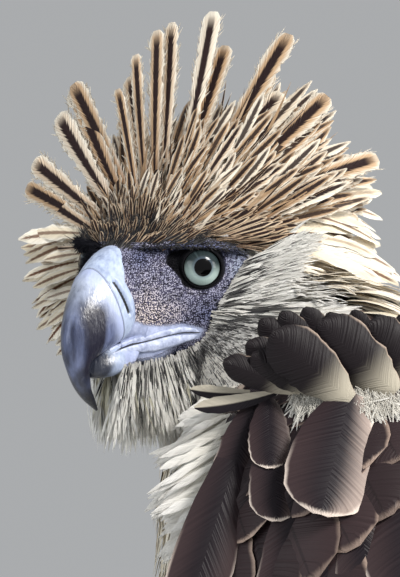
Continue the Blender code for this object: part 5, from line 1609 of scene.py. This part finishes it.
# %% Ruffled feathers of the far cheek
far = Coat("ruffled_cheek", NAPE_FINISH, "white_feathers")
count = 110
ahead = chance.uniform(-0.030, -0.004, count)
up = chance.uniform(-0.026, 0.014, count)
roots, outward = on_face(ahead, up, -1.0)
fall = np.interp(up, (-0.026, 0.014), (-48.0, 8.0)) + chance.normal(0.0, 9.0, count)
fall = np.radians(fall)[:, None]
way = (0.45 * head_forward - head_left) * np.cos(fall) + UPWARDS * np.sin(fall)
length = np.interp(up, (-0.026, 0.014), (0.020, 0.032)) * chance.uniform(0.7, 1.1, count)
grids, u = stand(roots, way, head_forward + 0.3 * UPWARDS, length, 0.0022 + 0.13 * length, chance, LANCE,
                 rows=12, columns=5, cup=0.15, bend=chance.uniform(-0.22, -0.05, count), fray=0.30,
                 droop=0.10)
far.add(grids, u, chance.uniform(0.1, 0.9, count), ahead, up, chance.uniform(0.7, 1.0, count))
far.make()

# %% [markdown]
# A fringe of fine white strands frames the bare face, with thin dark shafts among them. It could be
# combed by hand. Here its line is given as the picture shows it, right of the eye and above it with
# the way the strands point, and eight ranks of strands follow that line, each a little further out.

# %% Fringe round the face, from behind the eye down to the chin
FRINGE_LINE = np.array([
    (-40.0, -42.4, -114.0), (-31.5, -40.6, -102.0), (-23.1, -39.4, -92.0), (-14.7, -37.7, -77.0),
    (-6.3, -34.6, -62.0), (0.4, -31.3, -44.0), (4.4, -25.9, -20.0), (6.6, -19.2, 2.0), (9.4, -12.4, 16.0),
    (12.8, -6.2, 22.0), (16.2, -0.6, 24.0), (19.0, 3.3, 18.0),
])


def other_side(grids):
    """Grids of the head's left side, mirrored to its right side."""
    return from_head(to_head(grids) * (-1.0, 1.0, 1.0))[:, :, ::-1]


def behind_bill(grids):
    """True for feathers that don't stand out past the bill in the camera's view."""
    tip = 1000.0 * (grids[:, -1].mean(axis=1) - eye_front)
    return (tip @ camera_right > -41.0 + 4.0 * np.sin(40.0 * tip @ camera_up)) | (tip @ camera_up > 0.0)


fringe = Coat("face_fringe_left", FRINGE_FINISH, "white_feathers")
far_fringe = Coat("face_fringe_right", FRINGE_FINISH, "white_feathers")
shafts = Coat("face_bristles", BRISTLE_FINISH, "white_feathers")
for rank in range(8):
    count = 820
    row = smooth_rows(FRINGE_LINE, chance.uniform(0.0, 1.0, count))
    slope = np.radians(row[:, 2] + chance.normal(0.0, 4.5, count))
    cosine, sine = np.cos(slope), np.sin(slope)
    onward = 2.0 * rank + chance.uniform(-2.6, 1.2, count)
    level = soft_step(np.degrees(slope), -62.0, -30.0)[:, None]
    jaw = seen(row[:, 0] - 2.6 * cosine, row[:, 1] - 2.6 * sine, 0.0006)
    flow = across_picture(slope)
    sunk = camera_back * (0.35 * np.maximum(onward, 0.0))[:, None]
    hanging = jaw + (flow * (2.6 + onward)[:, None] - sunk) / 1000.0
    resting = seen(row[:, 0] + onward * cosine, row[:, 1] + onward * sine, 0.0012)
    roots = hanging + (resting - hanging) * level
    way = flow + camera_back * (chance.uniform(0.02, 0.28, count)[:, None] - 0.12 * level)
    face = np.broadcast_to(camera_back, way.shape)
    length = chance.uniform(0.009, 0.016, count) * (0.85 + 0.06 * rank)
    around, height = row[:, 0] + 0.0 * slope, row[:, 1] + onward
    width = chance.uniform(0.0007, 0.0014, count)
    grids, u = stand(roots, way, face, length, width, chance, bend=-0.10, **SOFT)
    tone = chance.uniform(0.3, 1.0, count)
    keep = behind_bill(grids)
    fringe.add(grids[keep], u, tone[keep], around[keep], height[keep], 0.0)
    mirrored = other_side(grids)
    keep = behind_bill(mirrored)
    far_fringe.add(mirrored[keep], u, tone[keep], around[keep], height[keep], 0.0)
    dark = chance.random(count) < (0.25 - 0.028 * rank) * (1.0 - 0.45 * level[:, 0])
    start = (roots + camera_back * 0.0014)[dark]
    grids, u = stand(start, way[dark], face[dark], length[dark] * 0.95, 0.00044, chance, rows=7, bend=-0.10,
                     droop=0.04, **STRAND)
    mark = chance.uniform(0.0, 0.14, dark.sum())
    keep = behind_bill(grids)
    shafts.add(grids[keep], u, 0.5, around[dark][keep], height[dark][keep], mark[keep])
    mirrored = other_side(grids)
    keep = behind_bill(mirrored)
    shafts.add(mirrored[keep], u, 0.5, around[dark][keep] + 90.0, height[dark][keep], mark[keep])
fringe.make()
far_fringe.make()

# %% [markdown]
# Below the fringe the white down of the cheek falls over the side of the neck. Its roots are found by
# rays from the camera, because only their places in the picture are known, and its strands fan out
# from the face. The other side gets the strands of the head mirrored.

# %% Soft cheek between the fringe and the shoulder
soft_left = Coat("cheek_down_left", WHITE_FINISH, "white_feathers")
soft_right = Coat("cheek_down_right", WHITE_FINISH, "white_feathers")
count = 5200
distance = 15.0 + 41.0 * chance.uniform(0.0, 1.0, count) ** 0.7
slope = np.radians(chance.uniform(-84.0, 2.0, count))
right, up = -12.0 + distance * np.cos(slope), -18.0 + distance * np.sin(slope)
target = eye_front + (right[:, None] * camera_right + up[:, None] * camera_up) / 1000.0
roots, _ = cast(skin_tree, np.broadcast_to(camera_place, target.shape), unit(target - camera_place))
keep = ~np.isnan(roots[:, 0])
roots, slope, distance = kept(keep, roots, slope, distance)
slope = slope + chance.normal(0.0, 0.10, len(slope))
on_head = to_head(roots)
on_head = (on_head[:, 1] < 0.030) & (distance < 30.0)
count = len(roots)
way = across_picture(slope) + camera_back * chance.uniform(0.06, 0.26, count)[:, None]
face = np.broadcast_to(camera_back, way.shape)
length = chance.uniform(0.012, 0.022, count)
width = chance.uniform(0.0010, 0.0020, count)
grids, u = stand(roots, way, face, length, width, chance, bend=-0.16, **SOFT)
soft_left.add(grids, u, chance.uniform(0.3, 1.0, count), distance, slope, 0.0)
mirrored = other_side(grids)
keep = on_head & behind_bill(mirrored)
tone = chance.uniform(0.3, 1.0, keep.sum())
soft_right.add(mirrored[keep], u, tone, distance[keep], slope[keep], 0.0)
dark = (chance.random(count) < 0.13) & (distance < 40.0)
length = chance.uniform(0.012, 0.020, dark.sum())
grids, u = stand(roots[dark] + camera_back * 0.0022, way[dark], face[dark], length, 0.00042, chance, rows=7,
                 bend=-0.12, droop=0.04, **STRAND)
shafts.add(grids, u, 0.5, distance[dark], slope[dark], 0.08)
soft_left.make()
soft_right.make()

# %% [markdown]
# Eagles have short dark bristles instead of feathers round the bill and on the brow. A bump could
# stand for the shortest, but they catch the light one by one, so each is a strand two points wide.
# None grow on the eyelids, on the lips or on the horn.

# %% Bristles on the lores, round the mouth and along the brow
count = 3600
ahead = chance.uniform(-0.012, 0.0345, count)
height = chance.uniform(-0.038, 0.0075, count)
side = np.where(chance.random(count) < 0.6, 1.0, -1.0)
off_eye = np.hypot((ahead - 0.0050) / 0.0110, height / 0.0096) > 1.0
level = height - mouth_height(ahead)
off_mouth = (level > np.interp(ahead, (0.0, 0.02, 0.035), (0.002, 0.006, 0.011))) | (level < -0.0056)
keep = off_eye & off_mouth & ((ahead < 0.010) | (level > 0.0))
keep &= ahead < np.interp(height, LORE_EDGE[:, 1], LORE_EDGE[:, 0])
keep &= chance.random(count) > 0.55 * hump(ahead, height, (0.016, -0.016), (0.008, 0.006))
roots, outward = on_face(ahead[keep], height[keep], side[keep])
ahead, height = ahead[keep], height[keep]
slope = 12.0 + 1600.0 * (height + 0.010)
way = back_along(outward, slope) + outward * chance.uniform(0.15, 0.5, len(roots))[:, None]
way = way + chance.normal(0.0, 0.12, roots.shape)
length = chance.uniform(0.0011, 0.0021, len(roots))
grids, u = stand(roots - outward * 0.0002, way, outward, length, 0.00034, chance, rows=3, **STRAND)
shafts.add(grids, u, 0.5, ahead, height, 0.0)
count = 2400
ahead = chance.uniform(0.008, 0.0300, count)
around = np.radians(chance.uniform(-70.0, 70.0, count))
outwards = np.stack([np.sin(around), 0.0 * around, np.cos(around)], axis=-1)
middle = np.stack([0.0 * ahead, -ahead, np.full(count, -0.004)], axis=-1)
roots, outward = cast(face_tree, from_head(middle + 0.10 * outwards), -outwards @ HEAD_TURN.T)
height = to_head(roots)[:, 2]
keep = ~np.isnan(height) & (height > 0.0072)
keep &= ahead < np.interp(height, LORE_EDGE[:, 1], LORE_EDGE[:, 0])
roots, outward, ahead, around = kept(keep, roots, outward, ahead, around)
way = radiating(roots, outward, chance.uniform(0.25, 0.6, len(roots))) + chance.normal(0.0, 0.06, roots.shape)
length = chance.uniform(0.002, 0.0060, len(roots))
grids, u = stand(roots - outward * 0.0002, way, outward, length, 0.00036, chance, rows=5, bend=-0.1, **STRAND)
shafts.add(grids, u, 0.5, ahead, 2.0 + around, chance.uniform(0.0, 0.16, len(roots)))
tall = chance.random(len(roots)) < 0.22
length = chance.uniform(0.006, 0.0125, tall.sum())
grids, u = stand(roots[tall], way[tall] + outward[tall] * 0.35, outward[tall], length, 0.00036, chance,
                 rows=6, bend=-0.25, **STRAND)
shafts.add(grids, u, 0.5, ahead[tall], 3.0 + around[tall], chance.uniform(0.0, 0.06, tall.sum()))
for side, count, longest, lowest in ((1.0, 900, 0.0024, -0.0012), (-1.0, 3600, 0.0048, -0.0130)):
    share = chance.uniform(0.16, 1.0, count)
    brow = smooth_rows(BROW_SHELF, share)
    over = chance.uniform(lowest, 0.0034 + 0.2 * min(lowest + 0.0012, 0.0), count)
    roots, outward = on_face(brow[:, 0], brow[:, 1] + over, side)
    keep = ~np.isnan(roots[:, 0])
    roots, outward, over, brow = kept(keep, roots, outward, over, brow)
    way = back_along(outward, -14.0 + 9000.0 * np.maximum(over, -0.0012)) * (0.4 if side < 0 else 1.0)
    way = way + outward * chance.uniform(0.3, 0.7, len(roots))[:, None]
    way = way + chance.normal(0.0, 0.14, roots.shape)
    way = way + head_forward * np.where(side < 0, 0.35, 0.0)
    length = longest * chance.uniform(0.5, 1.0, len(roots))
    grids, u = stand(roots - outward * 0.0003, way, outward, length, 0.00042, chance, rows=4, **STRAND)
    shafts.add(grids, u, 0.5, brow[:, 0], 1.0 + over, chance.uniform(0.0, 0.10, len(roots)) * (side > 0))
shafts.make()

# %% [markdown]
# The throat is loose down that hangs under the bill, a dull cream that is partly its own and partly
# painted shade, and the neck under it is covered by longer soft feathers that lie down over the breast
# and the mantle.

# %% Throat and neck
throat = Coat("throat_feathers", THROAT_CREAM_AND_SHADE_FINISH, "white_feathers")
count = 5200
forward = chance.uniform(-0.034, 0.0240, count)
angle = np.interp(forward, (-0.030, -0.010, 0.000, 0.010), (24.0, 36.0, 46.0, 34.0))
angle = np.radians(270.0 + chance.uniform(-1.0, 1.0, count) * angle)
roots, outward, _ = SKULL.at(skull_place(forward), angle, ROOT_DEPTH)
roots = roots + head_forward * np.maximum(forward - 0.0245, 0.0)[:, None]
way = outward * 0.25 - UPWARDS + head_forward * chance.uniform(-0.20, 0.16, count)[:, None]
way = way + chance.normal(0.0, 0.13, (count, 3))
length = chance.uniform(0.010, 0.030, count)
width = chance.uniform(0.0008, 0.0017, count)
grids, u = stand(roots, way, outward * 0.4 + head_forward, length, width, chance, WISP, rows=8, columns=3,
                 cup=0.1, fray=0.35, droop=0.05, bend=chance.uniform(-0.25, 0.05, count),
                 sweep=chance.uniform(-0.15, 0.15, count))
keep = behind_bill(grids)
throat.add(grids[keep], u, chance.uniform(0.1, 1.0, keep.sum()), angle[keep], forward[keep], 0.0)
throat.make()


def rows_on(tube, first, last, apart, spacing, low_angle, high_angle, chance):
    """Places and angles in staggered rows over part of a tube, in degrees from low to high."""
    places, angles = [], []
    steps = max(int(round(abs(last - first) * tube.length / apart)), 1)
    for step in range(steps + 1):
        place = first + (last - first) * step / steps
        row = tube.row(np.array([place]))[0]
        arc = math.radians(high_angle - low_angle) * 0.5 * (row[3] + 0.5 * (row[4] + row[5]))
        count = max(int(round(arc / spacing)), 2)
        turn = np.linspace(0.0, 1.0, count) + (0.5 / count) * (step % 2)
        angles.append(np.radians(low_angle + (high_angle - low_angle) * turn))
        places.append(np.full(count, place))
    places, angles = np.concatenate(places), np.concatenate(angles)
    angles = angles + chance.normal(0.0, 0.12 * spacing, len(angles)) / 0.06
    return places + chance.normal(0.0, 0.15 * apart / tube.length, len(places)), angles


neck = Coat("neck_feathers", NAPE_FINISH, "white_feathers")
place, angle = rows_on(BODY, 0.955, 0.72, 0.0048, 0.0042, 0.0, 360.0, chance)
on_head = to_head(BODY.at(place, angle)[0])
keep = (on_head[:, 1] > 0.036) | (on_head[:, 2] < -0.062)
place, angle = place[keep], angle[keep]
count = len(place)
length = chance.uniform(0.030, 0.052, count) * (1.0 - 0.25 * np.cos(angle) ** 4)
width = chance.uniform(0.0032, 0.0060, count)
lift = chance.uniform(0.003, 0.0105, count) * (1.0 - 0.4 * np.cos(angle) ** 4)
grids, u = lay(BODY, place, angle, length, width, chance, WISP, rows=8, columns=3, lift=lift, fray=0.25,
               turn=chance.normal(0.0, 0.14, count), cup=0.0004)
dorsal = np.sin(angle) > 0.2
neck.add(grids, u, chance.uniform(0.2, 1.0, count), angle, place,
         np.where(dorsal, 0.75, 0.12) * (chance.random(count) < 0.5))
neck.make()
down = Coat("neck_down", WHITE_FINISH, "white_feathers")
place, angle = rows_on(BODY, 0.962, 0.85, 0.0024, 0.0021, 0.0, 360.0, chance)
on_head = to_head(BODY.at(place, angle)[0])
keep = (on_head[:, 1] > 0.024) | (on_head[:, 2] < -0.056)
place, angle = place[keep], angle[keep]
count = len(place)
length = chance.uniform(0.012, 0.024, count)
width = chance.uniform(0.0010, 0.0020, count)
grids, u = lay(BODY, place, angle, length, width, chance, WISP, rows=6, columns=3,
               lift=chance.uniform(0.0012, 0.0055, count), fray=0.25, turn=chance.normal(0.0, 0.16, count),
               cup=0.0003)
down.add(grids, u, chance.uniform(0.2, 1.0, count), angle, place, 0.0)
down.make()

# %% [markdown]
# White feathers cover the front of the body and the thighs, and dark ones with pale fringes the
# back. Both lie in staggered rows like tiles, each row under the one above it. Scattering them by
# chance leaves gaps, and tiles without chance look like a roof, so the rows are shaken a little.

# %% Breast, belly and flanks
def tile(coat, tube, span, lengths, widths, lifts, turned, palest, marks=None, side=1.0, **shape):
    """Cover a span of a tube with feathers in staggered rows, each a little longer, wider or more turned."""
    place, angle = rows_on(tube, *span, chance)
    count = len(place)
    length = chance.uniform(*lengths, count)
    width = chance.uniform(*widths, count)
    lift = chance.uniform(*lifts, count)
    turn = chance.normal(0.0, turned, count)
    grids, u = lay(tube, place, angle, length, width, chance, lift=lift, turn=turn, **shape)
    tone = chance.uniform(palest, 1.0, count)
    mark = chance.uniform(*marks, count) if marks else 0.0
    coat.add(grids * (side, 1.0, 1.0), u, tone, angle, place, mark)
    coat.make()


belly = Coat("breast_feathers", WHITE_FINISH, "white_feathers")
tile(belly, BODY, (0.80, 0.03, 0.0150, 0.0125, 176.0, 364.0), (0.036, 0.050), (0.016, 0.023),
     (0.0015, 0.0050), 0.09, 0.3, fray=0.22, cup=0.0014)

# %% [markdown]
# The back has the same rows with broader, dark feathers. They lie a little higher over one another
# than those of the breast, so that the pale fringe of each shows against the dark one under it.

# %% Mantle and rump
mantle = Coat("mantle_feathers", DARK_FINISH, "dark_feathers")
tile(mantle, BODY, (0.80, 0.01, 0.0165, 0.0150, 2.0, 178.0), (0.046, 0.060), (0.024, 0.031),
     (0.0035, 0.0065), 0.06, 0.0, marks=(0.5, 1.0), rows=9, columns=7, fray=0.05, cup=0.0016, roll=0.05)

# %% [markdown]
# The thighs wear loose white trousers of narrow feathers that end above the scaled leg. They are laid
# like the breast's, round the thigh's own tube. The tube is that of the left leg, so the grids of the
# right one are mirrored after chance has placed them anew.

# %% Thighs
for word, side in (("left", 1.0), ("right", -1.0)):
    thigh = Coat("thigh_feathers_" + word, WHITE_FINISH, "white_feathers")
    tile(thigh, THIGH, (0.97, 0.05, 0.0120, 0.0100, 0.0, 360.0), (0.030, 0.046), (0.012, 0.018),
         (0.002, 0.0062), 0.10, 0.3, side=side, outline=WISP, fray=0.25, cup=0.0014)

# %% [markdown]
# A folded wing is tiers of feathers over one another: long flight feathers at the tip, then
# secondaries, then shorter and shorter coverts up to the shoulder. Each tier is one call with its
# own place, fan, length and width. The tiers lie on the same curved surface as the solid wing's.

# %% Wings
WING_TIERS = (
    (0.500, 9, 24.0, -13.0, 0.298, 0.0300, -0.0005, -0.0030, 0.0012),
    (0.580, 10, 46.0, -21.0, 0.188, 0.0370, 0.0080, 0.0004, 0.0003),
    (0.640, 9, 48.0, -27.0, 0.150, 0.0380, 0.0088, 0.0010, 0.0),
    (0.700, 9, 49.0, -32.0, 0.112, 0.0390, 0.0094, 0.0012, 0.0),
    (0.750, 9, 48.0, -26.0, 0.094, 0.0380, 0.0096, 0.0012, 0.0),
    (0.795, 8, 46.0, -18.0, 0.080, 0.0370, 0.0096, 0.0012, 0.0),
    (0.835, 8, 43.0, -11.0, 0.070, 0.0350, 0.0094, 0.0012, 0.0),
    (0.872, 7, 38.0, -5.0, 0.060, 0.0330, 0.0090, 0.0012, 0.0),
    (0.905, 6, 33.0, -1.0, 0.050, 0.0300, 0.0086, 0.0012, 0.0),
    (0.935, 5, 27.0, 5.0, 0.044, 0.0280, 0.0080, 0.0012, 0.0),
)
LONG_TIERS = 2
for word, side in (("left", 1.0), ("right", -1.0)):
    flight = Coat("flight_feathers_" + word, TAIL_FINISH, "dark_feathers")
    coverts = Coat("wing_coverts_" + word, DARK_FINISH, "dark_feathers")
    for tier, (place, count, upper, lower, length, width, lift, base, layer) in enumerate(WING_TIERS):
        share = np.linspace(0.0, 1.0, count)
        angle = np.radians(lower + (upper - lower) * share) + chance.normal(0.0, 0.012, count)
        grown = length * (1.0 - 0.10 * np.abs(share - 0.4)) * chance.uniform(0.96, 1.04, count)
        if tier == 0:
            grown = length * (0.78 + 0.22 * (1.0 - share))
        level = base + layer * np.arange(count) + chance.uniform(-0.0002, 0.0003, count)
        places = np.full(count, place) + chance.normal(0.0, 0.004, count) * (tier > 0)
        long_tier = tier < LONG_TIERS
        grids, u = lay(
            WING_LIE, places, angle, grown, width * chance.uniform(0.94, 1.06, count), chance,
            BLADE if long_tier else BROAD, rows=22 if long_tier else 13, columns=9, lift=lift, base=level,
            roll=0.09, fray=0.03, cup=0.0016, turn=chance.normal(0.0, 0.02, count) * (tier > 0),
        )
        coat = flight if long_tier else coverts
        tone = chance.uniform(0.0, 1.0, count)
        mark = 0.45 if long_tier else chance.uniform(0.12, 0.60, count)
        coat.add(grids * (side, 1.0, 1.0), -u if side > 0 else u, tone, angle, places, mark)
    flight.make()
    coverts.make()

# %% [markdown]
# Over the shoulder the even rows break up. The scapulars stand ruffled, near-black at their rounded
# tips and pale at their roots, white down shows under them, and a few broad coverts hang over the
# rest. Each of these is seen as a single feather, so each is one row: where its root and its tip
# show, right of the left eye and above it, its width, and how far root and tip stand off the body,
# all in millimetres. The right shoulder gets the same feathers mirrored.

# %% Ruffled shoulder
SCAPULARS = np.array([
    (94.8, -47.0, 88.8, -20.8, 13.6, 2.0, 4.0), (86.0, -46.0, 79.0, -19.8, 12.0, 2.0, 4.0),
    (78.8, -45.0, 69.8, -19.8, 12.6, 3.0, 5.0), (71.0, -45.0, 60.4, -18.0, 12.0, 3.0, 5.0),
    (62.8, -45.0, 50.4, -19.0, 12.6, 4.0, 6.0), (56.0, -44.0, 41.0, -17.0, 12.6, 4.0, 6.0),
    (50.8, -45.0, 31.8, -18.6, 12.6, 5.0, 7.0), (46.0, -45.0, 23.6, -21.6, 13.0, 6.0, 8.0),
    (102.8, -53.0, 82.8, -26.0, 24.0, 7.0, 9.0), (90.8, -49.8, 66.0, -23.4, 23.0, 8.0, 10.0),
    (76.8, -49.8, 47.4, -23.0, 23.0, 10.0, 12.0), (58.8, -53.0, 28.6, -27.0, 22.0, 12.0, 14.0),
    (48.0, -48.0, 18.4, -30.8, 13.6, 9.0, 11.0), (46.0, -49.0, 20.2, -35.4, 13.2, 13.0, 14.5),
    (38.8, -48.8, 9.2, -37.8, 12.0, 14.0, 16.0),
])
COVERTS = np.array([
    (62.8, -85.0, 66.8, -153.0, 24.0, 5.0, 5.0), (50.8, -85.0, 50.8, -157.0, 22.0, 5.5, 5.5),
    (38.8, -85.0, 28.8, -149.0, 22.0, 6.0, 6.0), (23.6, -81.0, 4.8, -149.0, 20.0, 6.5, 6.5),
    (16.8, -65.0, -11.2, -149.0, 25.0, 7.5, 7.0), (84.0, -55.0, 82.0, -131.0, 38.0, 8.0, 8.0),
    (28.8, -65.0, 29.2, -99.0, 21.6, 9.0, 9.5), (20.8, -53.8, 9.2, -90.6, 17.6, 10.0, 10.5),
    (26.0, -52.2, 26.8, -77.8, 17.0, 11.0, 11.5), (58.8, -49.8, 47.6, -95.0, 36.0, 12.0, 13.5),
])
COVERT_GLOW = (0.2, 0.1, 0.5, 0.1, 0.0, 0.15, 0.15, 0.1, 0.1, 1.0)
BLADES = np.array([
    (18.8, -49.8, -4.4, -51.4, 5.6, 10.0, 9.0), (28.8, -49.8, -1.6, -59.4, 7.2, 12.0, 10.0),
    (38.8, -45.8, 15.2, -47.8, 6.4, 16.0, 15.0),
])
BREAST = np.array([
    (8.8, -53.0, -6.4, -64.6, 7.0, 5.0, 4.0), (8.8, -61.0, -14.8, -77.8, 8.0, 4.0, 3.0),
    (6.8, -71.0, -15.2, -88.6, 8.0, 4.0, 3.0), (4.6, -80.0, -17.2, -97.4, 8.0, 4.0, 3.0),
    (1.8, -90.0, -11.6, -106.2, 8.0, 4.0, 3.0), (-2.0, -98.0, -14.0, -116.0, 7.0, 4.0, 3.0),
])


def posed(table, bow, follow, chance, **shape):
    """Feathers from rows of root right and up, tip right and up, width and two heights off the body."""
    root = seen(table[:, 0], table[:, 1], table[:, 5] / 1000.0)
    step = camera_right * (table[:, 2:3] - table[:, 0:1]) + camera_up * (table[:, 3:4] - table[:, 1:2])
    tip = root + (step + camera_back * (table[:, 6:7] - table[:, 5:6])) / 1000.0
    if follow:
        tip = seen(table[:, 2], table[:, 3], table[:, 6] / 1000.0)
    lean = bow * np.linalg.norm(tip - root, axis=-1, keepdims=True)
    chord = tip - root + camera_back * lean
    length = np.linalg.norm(chord, axis=-1)
    face = np.broadcast_to(camera_back, chord.shape)
    return stand(root, chord, face, length, table[:, 4] / 1000.0, chance, bend=-lean[:, 0] / length, **shape)


def both_sides(left_coat, right_coat, grids, across, tone, mark):
    """The same feathers on the left and, mirrored, on the right."""
    number = np.arange(len(grids))
    left_coat.add(grids, across, tone, number, 0.0, mark)
    right_coat.add((grids * (-1.0, 1.0, 1.0))[:, :, ::-1], across, tone, number, 0.0, mark)


def shaken(rows, copies, spread, chance):
    """Each row several times, with root and tip moved by chance and the width shared out."""
    many = np.repeat(rows, copies, axis=0)
    many[:, :4] += chance.normal(0.0, spread, (len(many), 4))
    many[:, 4] *= chance.uniform(0.25, 0.5, len(many))
    many[:, 5:] += chance.uniform(-2.5, 1.0, len(many))[:, None]
    return many


scapulars, coverts, down = (
    [Coat(name + word, finish, slot) for word in ("_left", "_right")]
    for name, finish, slot in (("scapulars", RUFFLE_FINISH, "dark_feathers"),
                               ("shoulder_coverts", SHOULDER_FINISH, "dark_feathers"),
                               ("shoulder_down", WHITE_FINISH, "white_feathers"))
)
for rows, outline in ((SCAPULARS[:8], LANCE), (SCAPULARS[8:], BROAD)):
    grids, u = posed(rows, 0.10, False, chance, outline=outline, rows=18, columns=11, cup=0.30, fray=0.05)
    both_sides(*scapulars, grids, u, chance.uniform(0.1, 0.9, len(rows)), 1.0)
grids, u = posed(BLADES, 0.08, False, chance, outline=LANCE, rows=16, columns=7, cup=0.20, fray=0.05,
                 sweep=0.12)
both_sides(*scapulars, grids, u, 0.5, 0.0)
grids, u = posed(COVERTS, 0.12, True, chance, outline=BROAD, rows=22, columns=13, cup=0.22, fray=0.025)
both_sides(*coverts, grids, u, np.array(COVERT_GLOW), chance.uniform(0.5, 1.0, len(COVERTS)))
rows = shaken(BREAST, 34, 2.6, chance)
grids, u = posed(rows, 0.10, False, chance, outline=LANCE, rows=9, columns=3, cup=0.15, fray=0.25)
both_sides(*down, grids, u, chance.uniform(0.4, 1.0, len(rows)), 0.0)
count = 3600
start = np.stack([chance.uniform(36.0, 104.0, count), chance.uniform(-56.0, -43.0, count)], axis=-1)
turn = np.radians(chance.normal(-80.0, 24.0, count))
reach = chance.uniform(7.0, 13.0, count)
step = np.stack([reach * np.cos(turn), reach * np.sin(turn)], axis=-1)
stand_off = chance.uniform(5.0, 11.0, count)
rows = np.column_stack([start, start + step, chance.uniform(0.35, 0.7, count), stand_off, stand_off - 1.5])
grids, u = posed(rows, 0.15, False, chance, outline=WISP, rows=6, columns=2, cup=0.0, fray=0.0)
both_sides(*down, grids, u, chance.uniform(0.2, 1.0, count), 0.0)
for coat in (*scapulars, *coverts, *down):
    coat.make()

# %% [markdown]
# The tail has twelve long barred feathers, stacked with the middle pair on top, and short coverts
# over and under their roots.

# %% Tail
root, toward, _, _, radii = (part[0] for part in BODY.frame(np.array([0.0])))
TAIL_LENGTH = 0.375
TAIL_FEATHERS = 12
ACROSS = np.array([1.0, 0.0, 0.0])
slope = math.radians(44.0)
tail_back = np.array([0.0, math.sin(slope), math.cos(slope)])
tail_along = np.array([0.0, math.cos(slope), -math.sin(slope)])
tail_start = root + SHIFT
tail = Coat("tail_feathers", TAIL_FINISH, "dark_feathers")
number = np.arange(TAIL_FEATHERS) - 0.5 * (TAIL_FEATHERS - 1)
layer = np.abs(number) + 0.5 * (number < 0)
turn = np.radians(1.6) * number
direction = np.cos(turn)[:, None] * tail_along + np.sin(turn)[:, None] * ACROSS
quill = tail_start + tail_along * 0.045 + np.outer(0.0040 * number, ACROSS)
quill = quill + np.outer(0.005 - 0.0026 * layer, tail_back)
face = tail_back - np.outer(0.05 * np.sign(number), ACROSS)
length = TAIL_LENGTH - 0.0035 * np.abs(number)
grids, u = stand(quill, direction, face, length, 0.046, chance, BLADE, rows=40, columns=9, bend=0.0267,
                 cup=0.06, fray=0.02)
tail.add(grids, u * np.sign(number)[:, None, None], chance.uniform(0.2, 0.9, TAIL_FEATHERS), number, 0.0, 1.0)
tail.make()
covert = Coat("tail_coverts", DARK_FINISH, "dark_feathers")
under = Coat("under_tail_coverts", WHITE_FINISH, "white_feathers")
for over, coat, count, longest in ((1.0, covert, 34, 0.082), (-1.0, under, 40, 0.095)):
    share = chance.uniform(-1.0, 1.0, count)
    reach = chance.uniform(0.0, 1.0, count)
    roots = tail_start + np.outer(0.002 + 0.040 * reach, tail_along) + np.outer(0.030 * share, ACROSS)
    roots = roots + np.outer(over * (0.020 - 0.010 * reach) * np.sqrt(1.05 - share**2), tail_back)
    direction = tail_along + np.outer(0.12 * share, ACROSS) + np.outer(-0.07 * over, tail_back)
    face = tail_back * over + np.outer(0.4 * share, ACROSS)
    length = longest * chance.uniform(0.6, 1.0, count)
    grids, u = stand(roots, direction, face, length, 0.026, chance, BROAD, rows=10, columns=7, cup=0.12,
                     fray=0.06)
    coat.add(grids, u, chance.uniform(0.1, 0.9, count), share, reach, 0.7 * (over > 0.0))
    coat.make()

# %% [markdown]
# The floor is a wide pale disc and the light is soft: a large lamp high on the right of the camera,
# a weaker one on its left, one behind the bird, and a pale sky that fills the shadows.

# %% Floor, light and camera
camera = bpy.data.objects.new("camera", bpy.data.cameras.new("camera"))
bpy.context.scene.collection.objects.link(camera)
camera.data.sensor_width = 36.0
camera.data.lens = 36.0 * CAMERA_DISTANCE / (IMAGE_HEIGHT * MILLIMETRES_PER_PIXEL / 1000.0)
camera.location = camera_place
camera.rotation_euler = Vector(camera_back).to_track_quat("Z", "Y").to_euler()
camera.data.clip_end = 100.0
bpy.context.scene.camera = camera

floor_finish, _, shader = finish_of("studio_floor", 0.7)
shader.inputs["Base Color"].default_value = (0.62, 0.62, 0.60, 1.0)
floor_mesh = bpy.data.meshes.new("studio_floor")
rim = [(3.0 * math.cos(turn), 3.0 * math.sin(turn), 0.0) for turn in np.linspace(0.0, 2.0 * math.pi, 97)[:-1]]
floor_mesh.from_pydata(rim, [], [tuple(range(96))])
floor_mesh.materials.append(floor_finish)
floor = bpy.data.objects.new("studio_floor", floor_mesh)
bpy.context.scene.collection.objects.link(floor)


def lamp(name, right, up, toward, size, power, colour=(1.0, 1.0, 1.0)):
    """A square soft lamp, placed from the head along the camera's own directions, in metres."""
    light = bpy.data.lights.new(name, "AREA")
    light.shape = "SQUARE"
    light.size = size
    light.energy = power
    light.color = colour
    item = bpy.data.objects.new(name, light)
    bpy.context.scene.collection.objects.link(item)
    way = camera_right * right + np.array([0.0, 0.0, up]) + camera_back * toward
    item.location = aim + way
    item.rotation_euler = Vector(way).to_track_quat("Z", "Y").to_euler()
    return item


lamp("key", 1.2, 1.2, 1.2, 0.6, 54.0, (1.0, 0.97, 0.93))
lamp("fill", -1.6, 0.4, 1.0, 1.2, 12.0, (0.90, 0.95, 1.0))
lamp("side", 1.9, 0.3, 0.5, 0.9, 16.0)
lamp("back", 0.4, 1.3, -1.6, 1.0, 22.0)
world = bpy.data.worlds.new("pale_studio")
bpy.context.scene.world = world
world.use_nodes = True
world.node_tree.nodes["Background"].inputs["Color"].default_value = (0.80, 0.82, 0.84, 1.0)
world.node_tree.nodes["Background"].inputs["Strength"].default_value = 0.50
bpy.context.scene.view_settings.view_transform = "Standard"
print("camera lens", round(camera.data.lens, 1), "mm at", CAMERA_DISTANCE, "m")
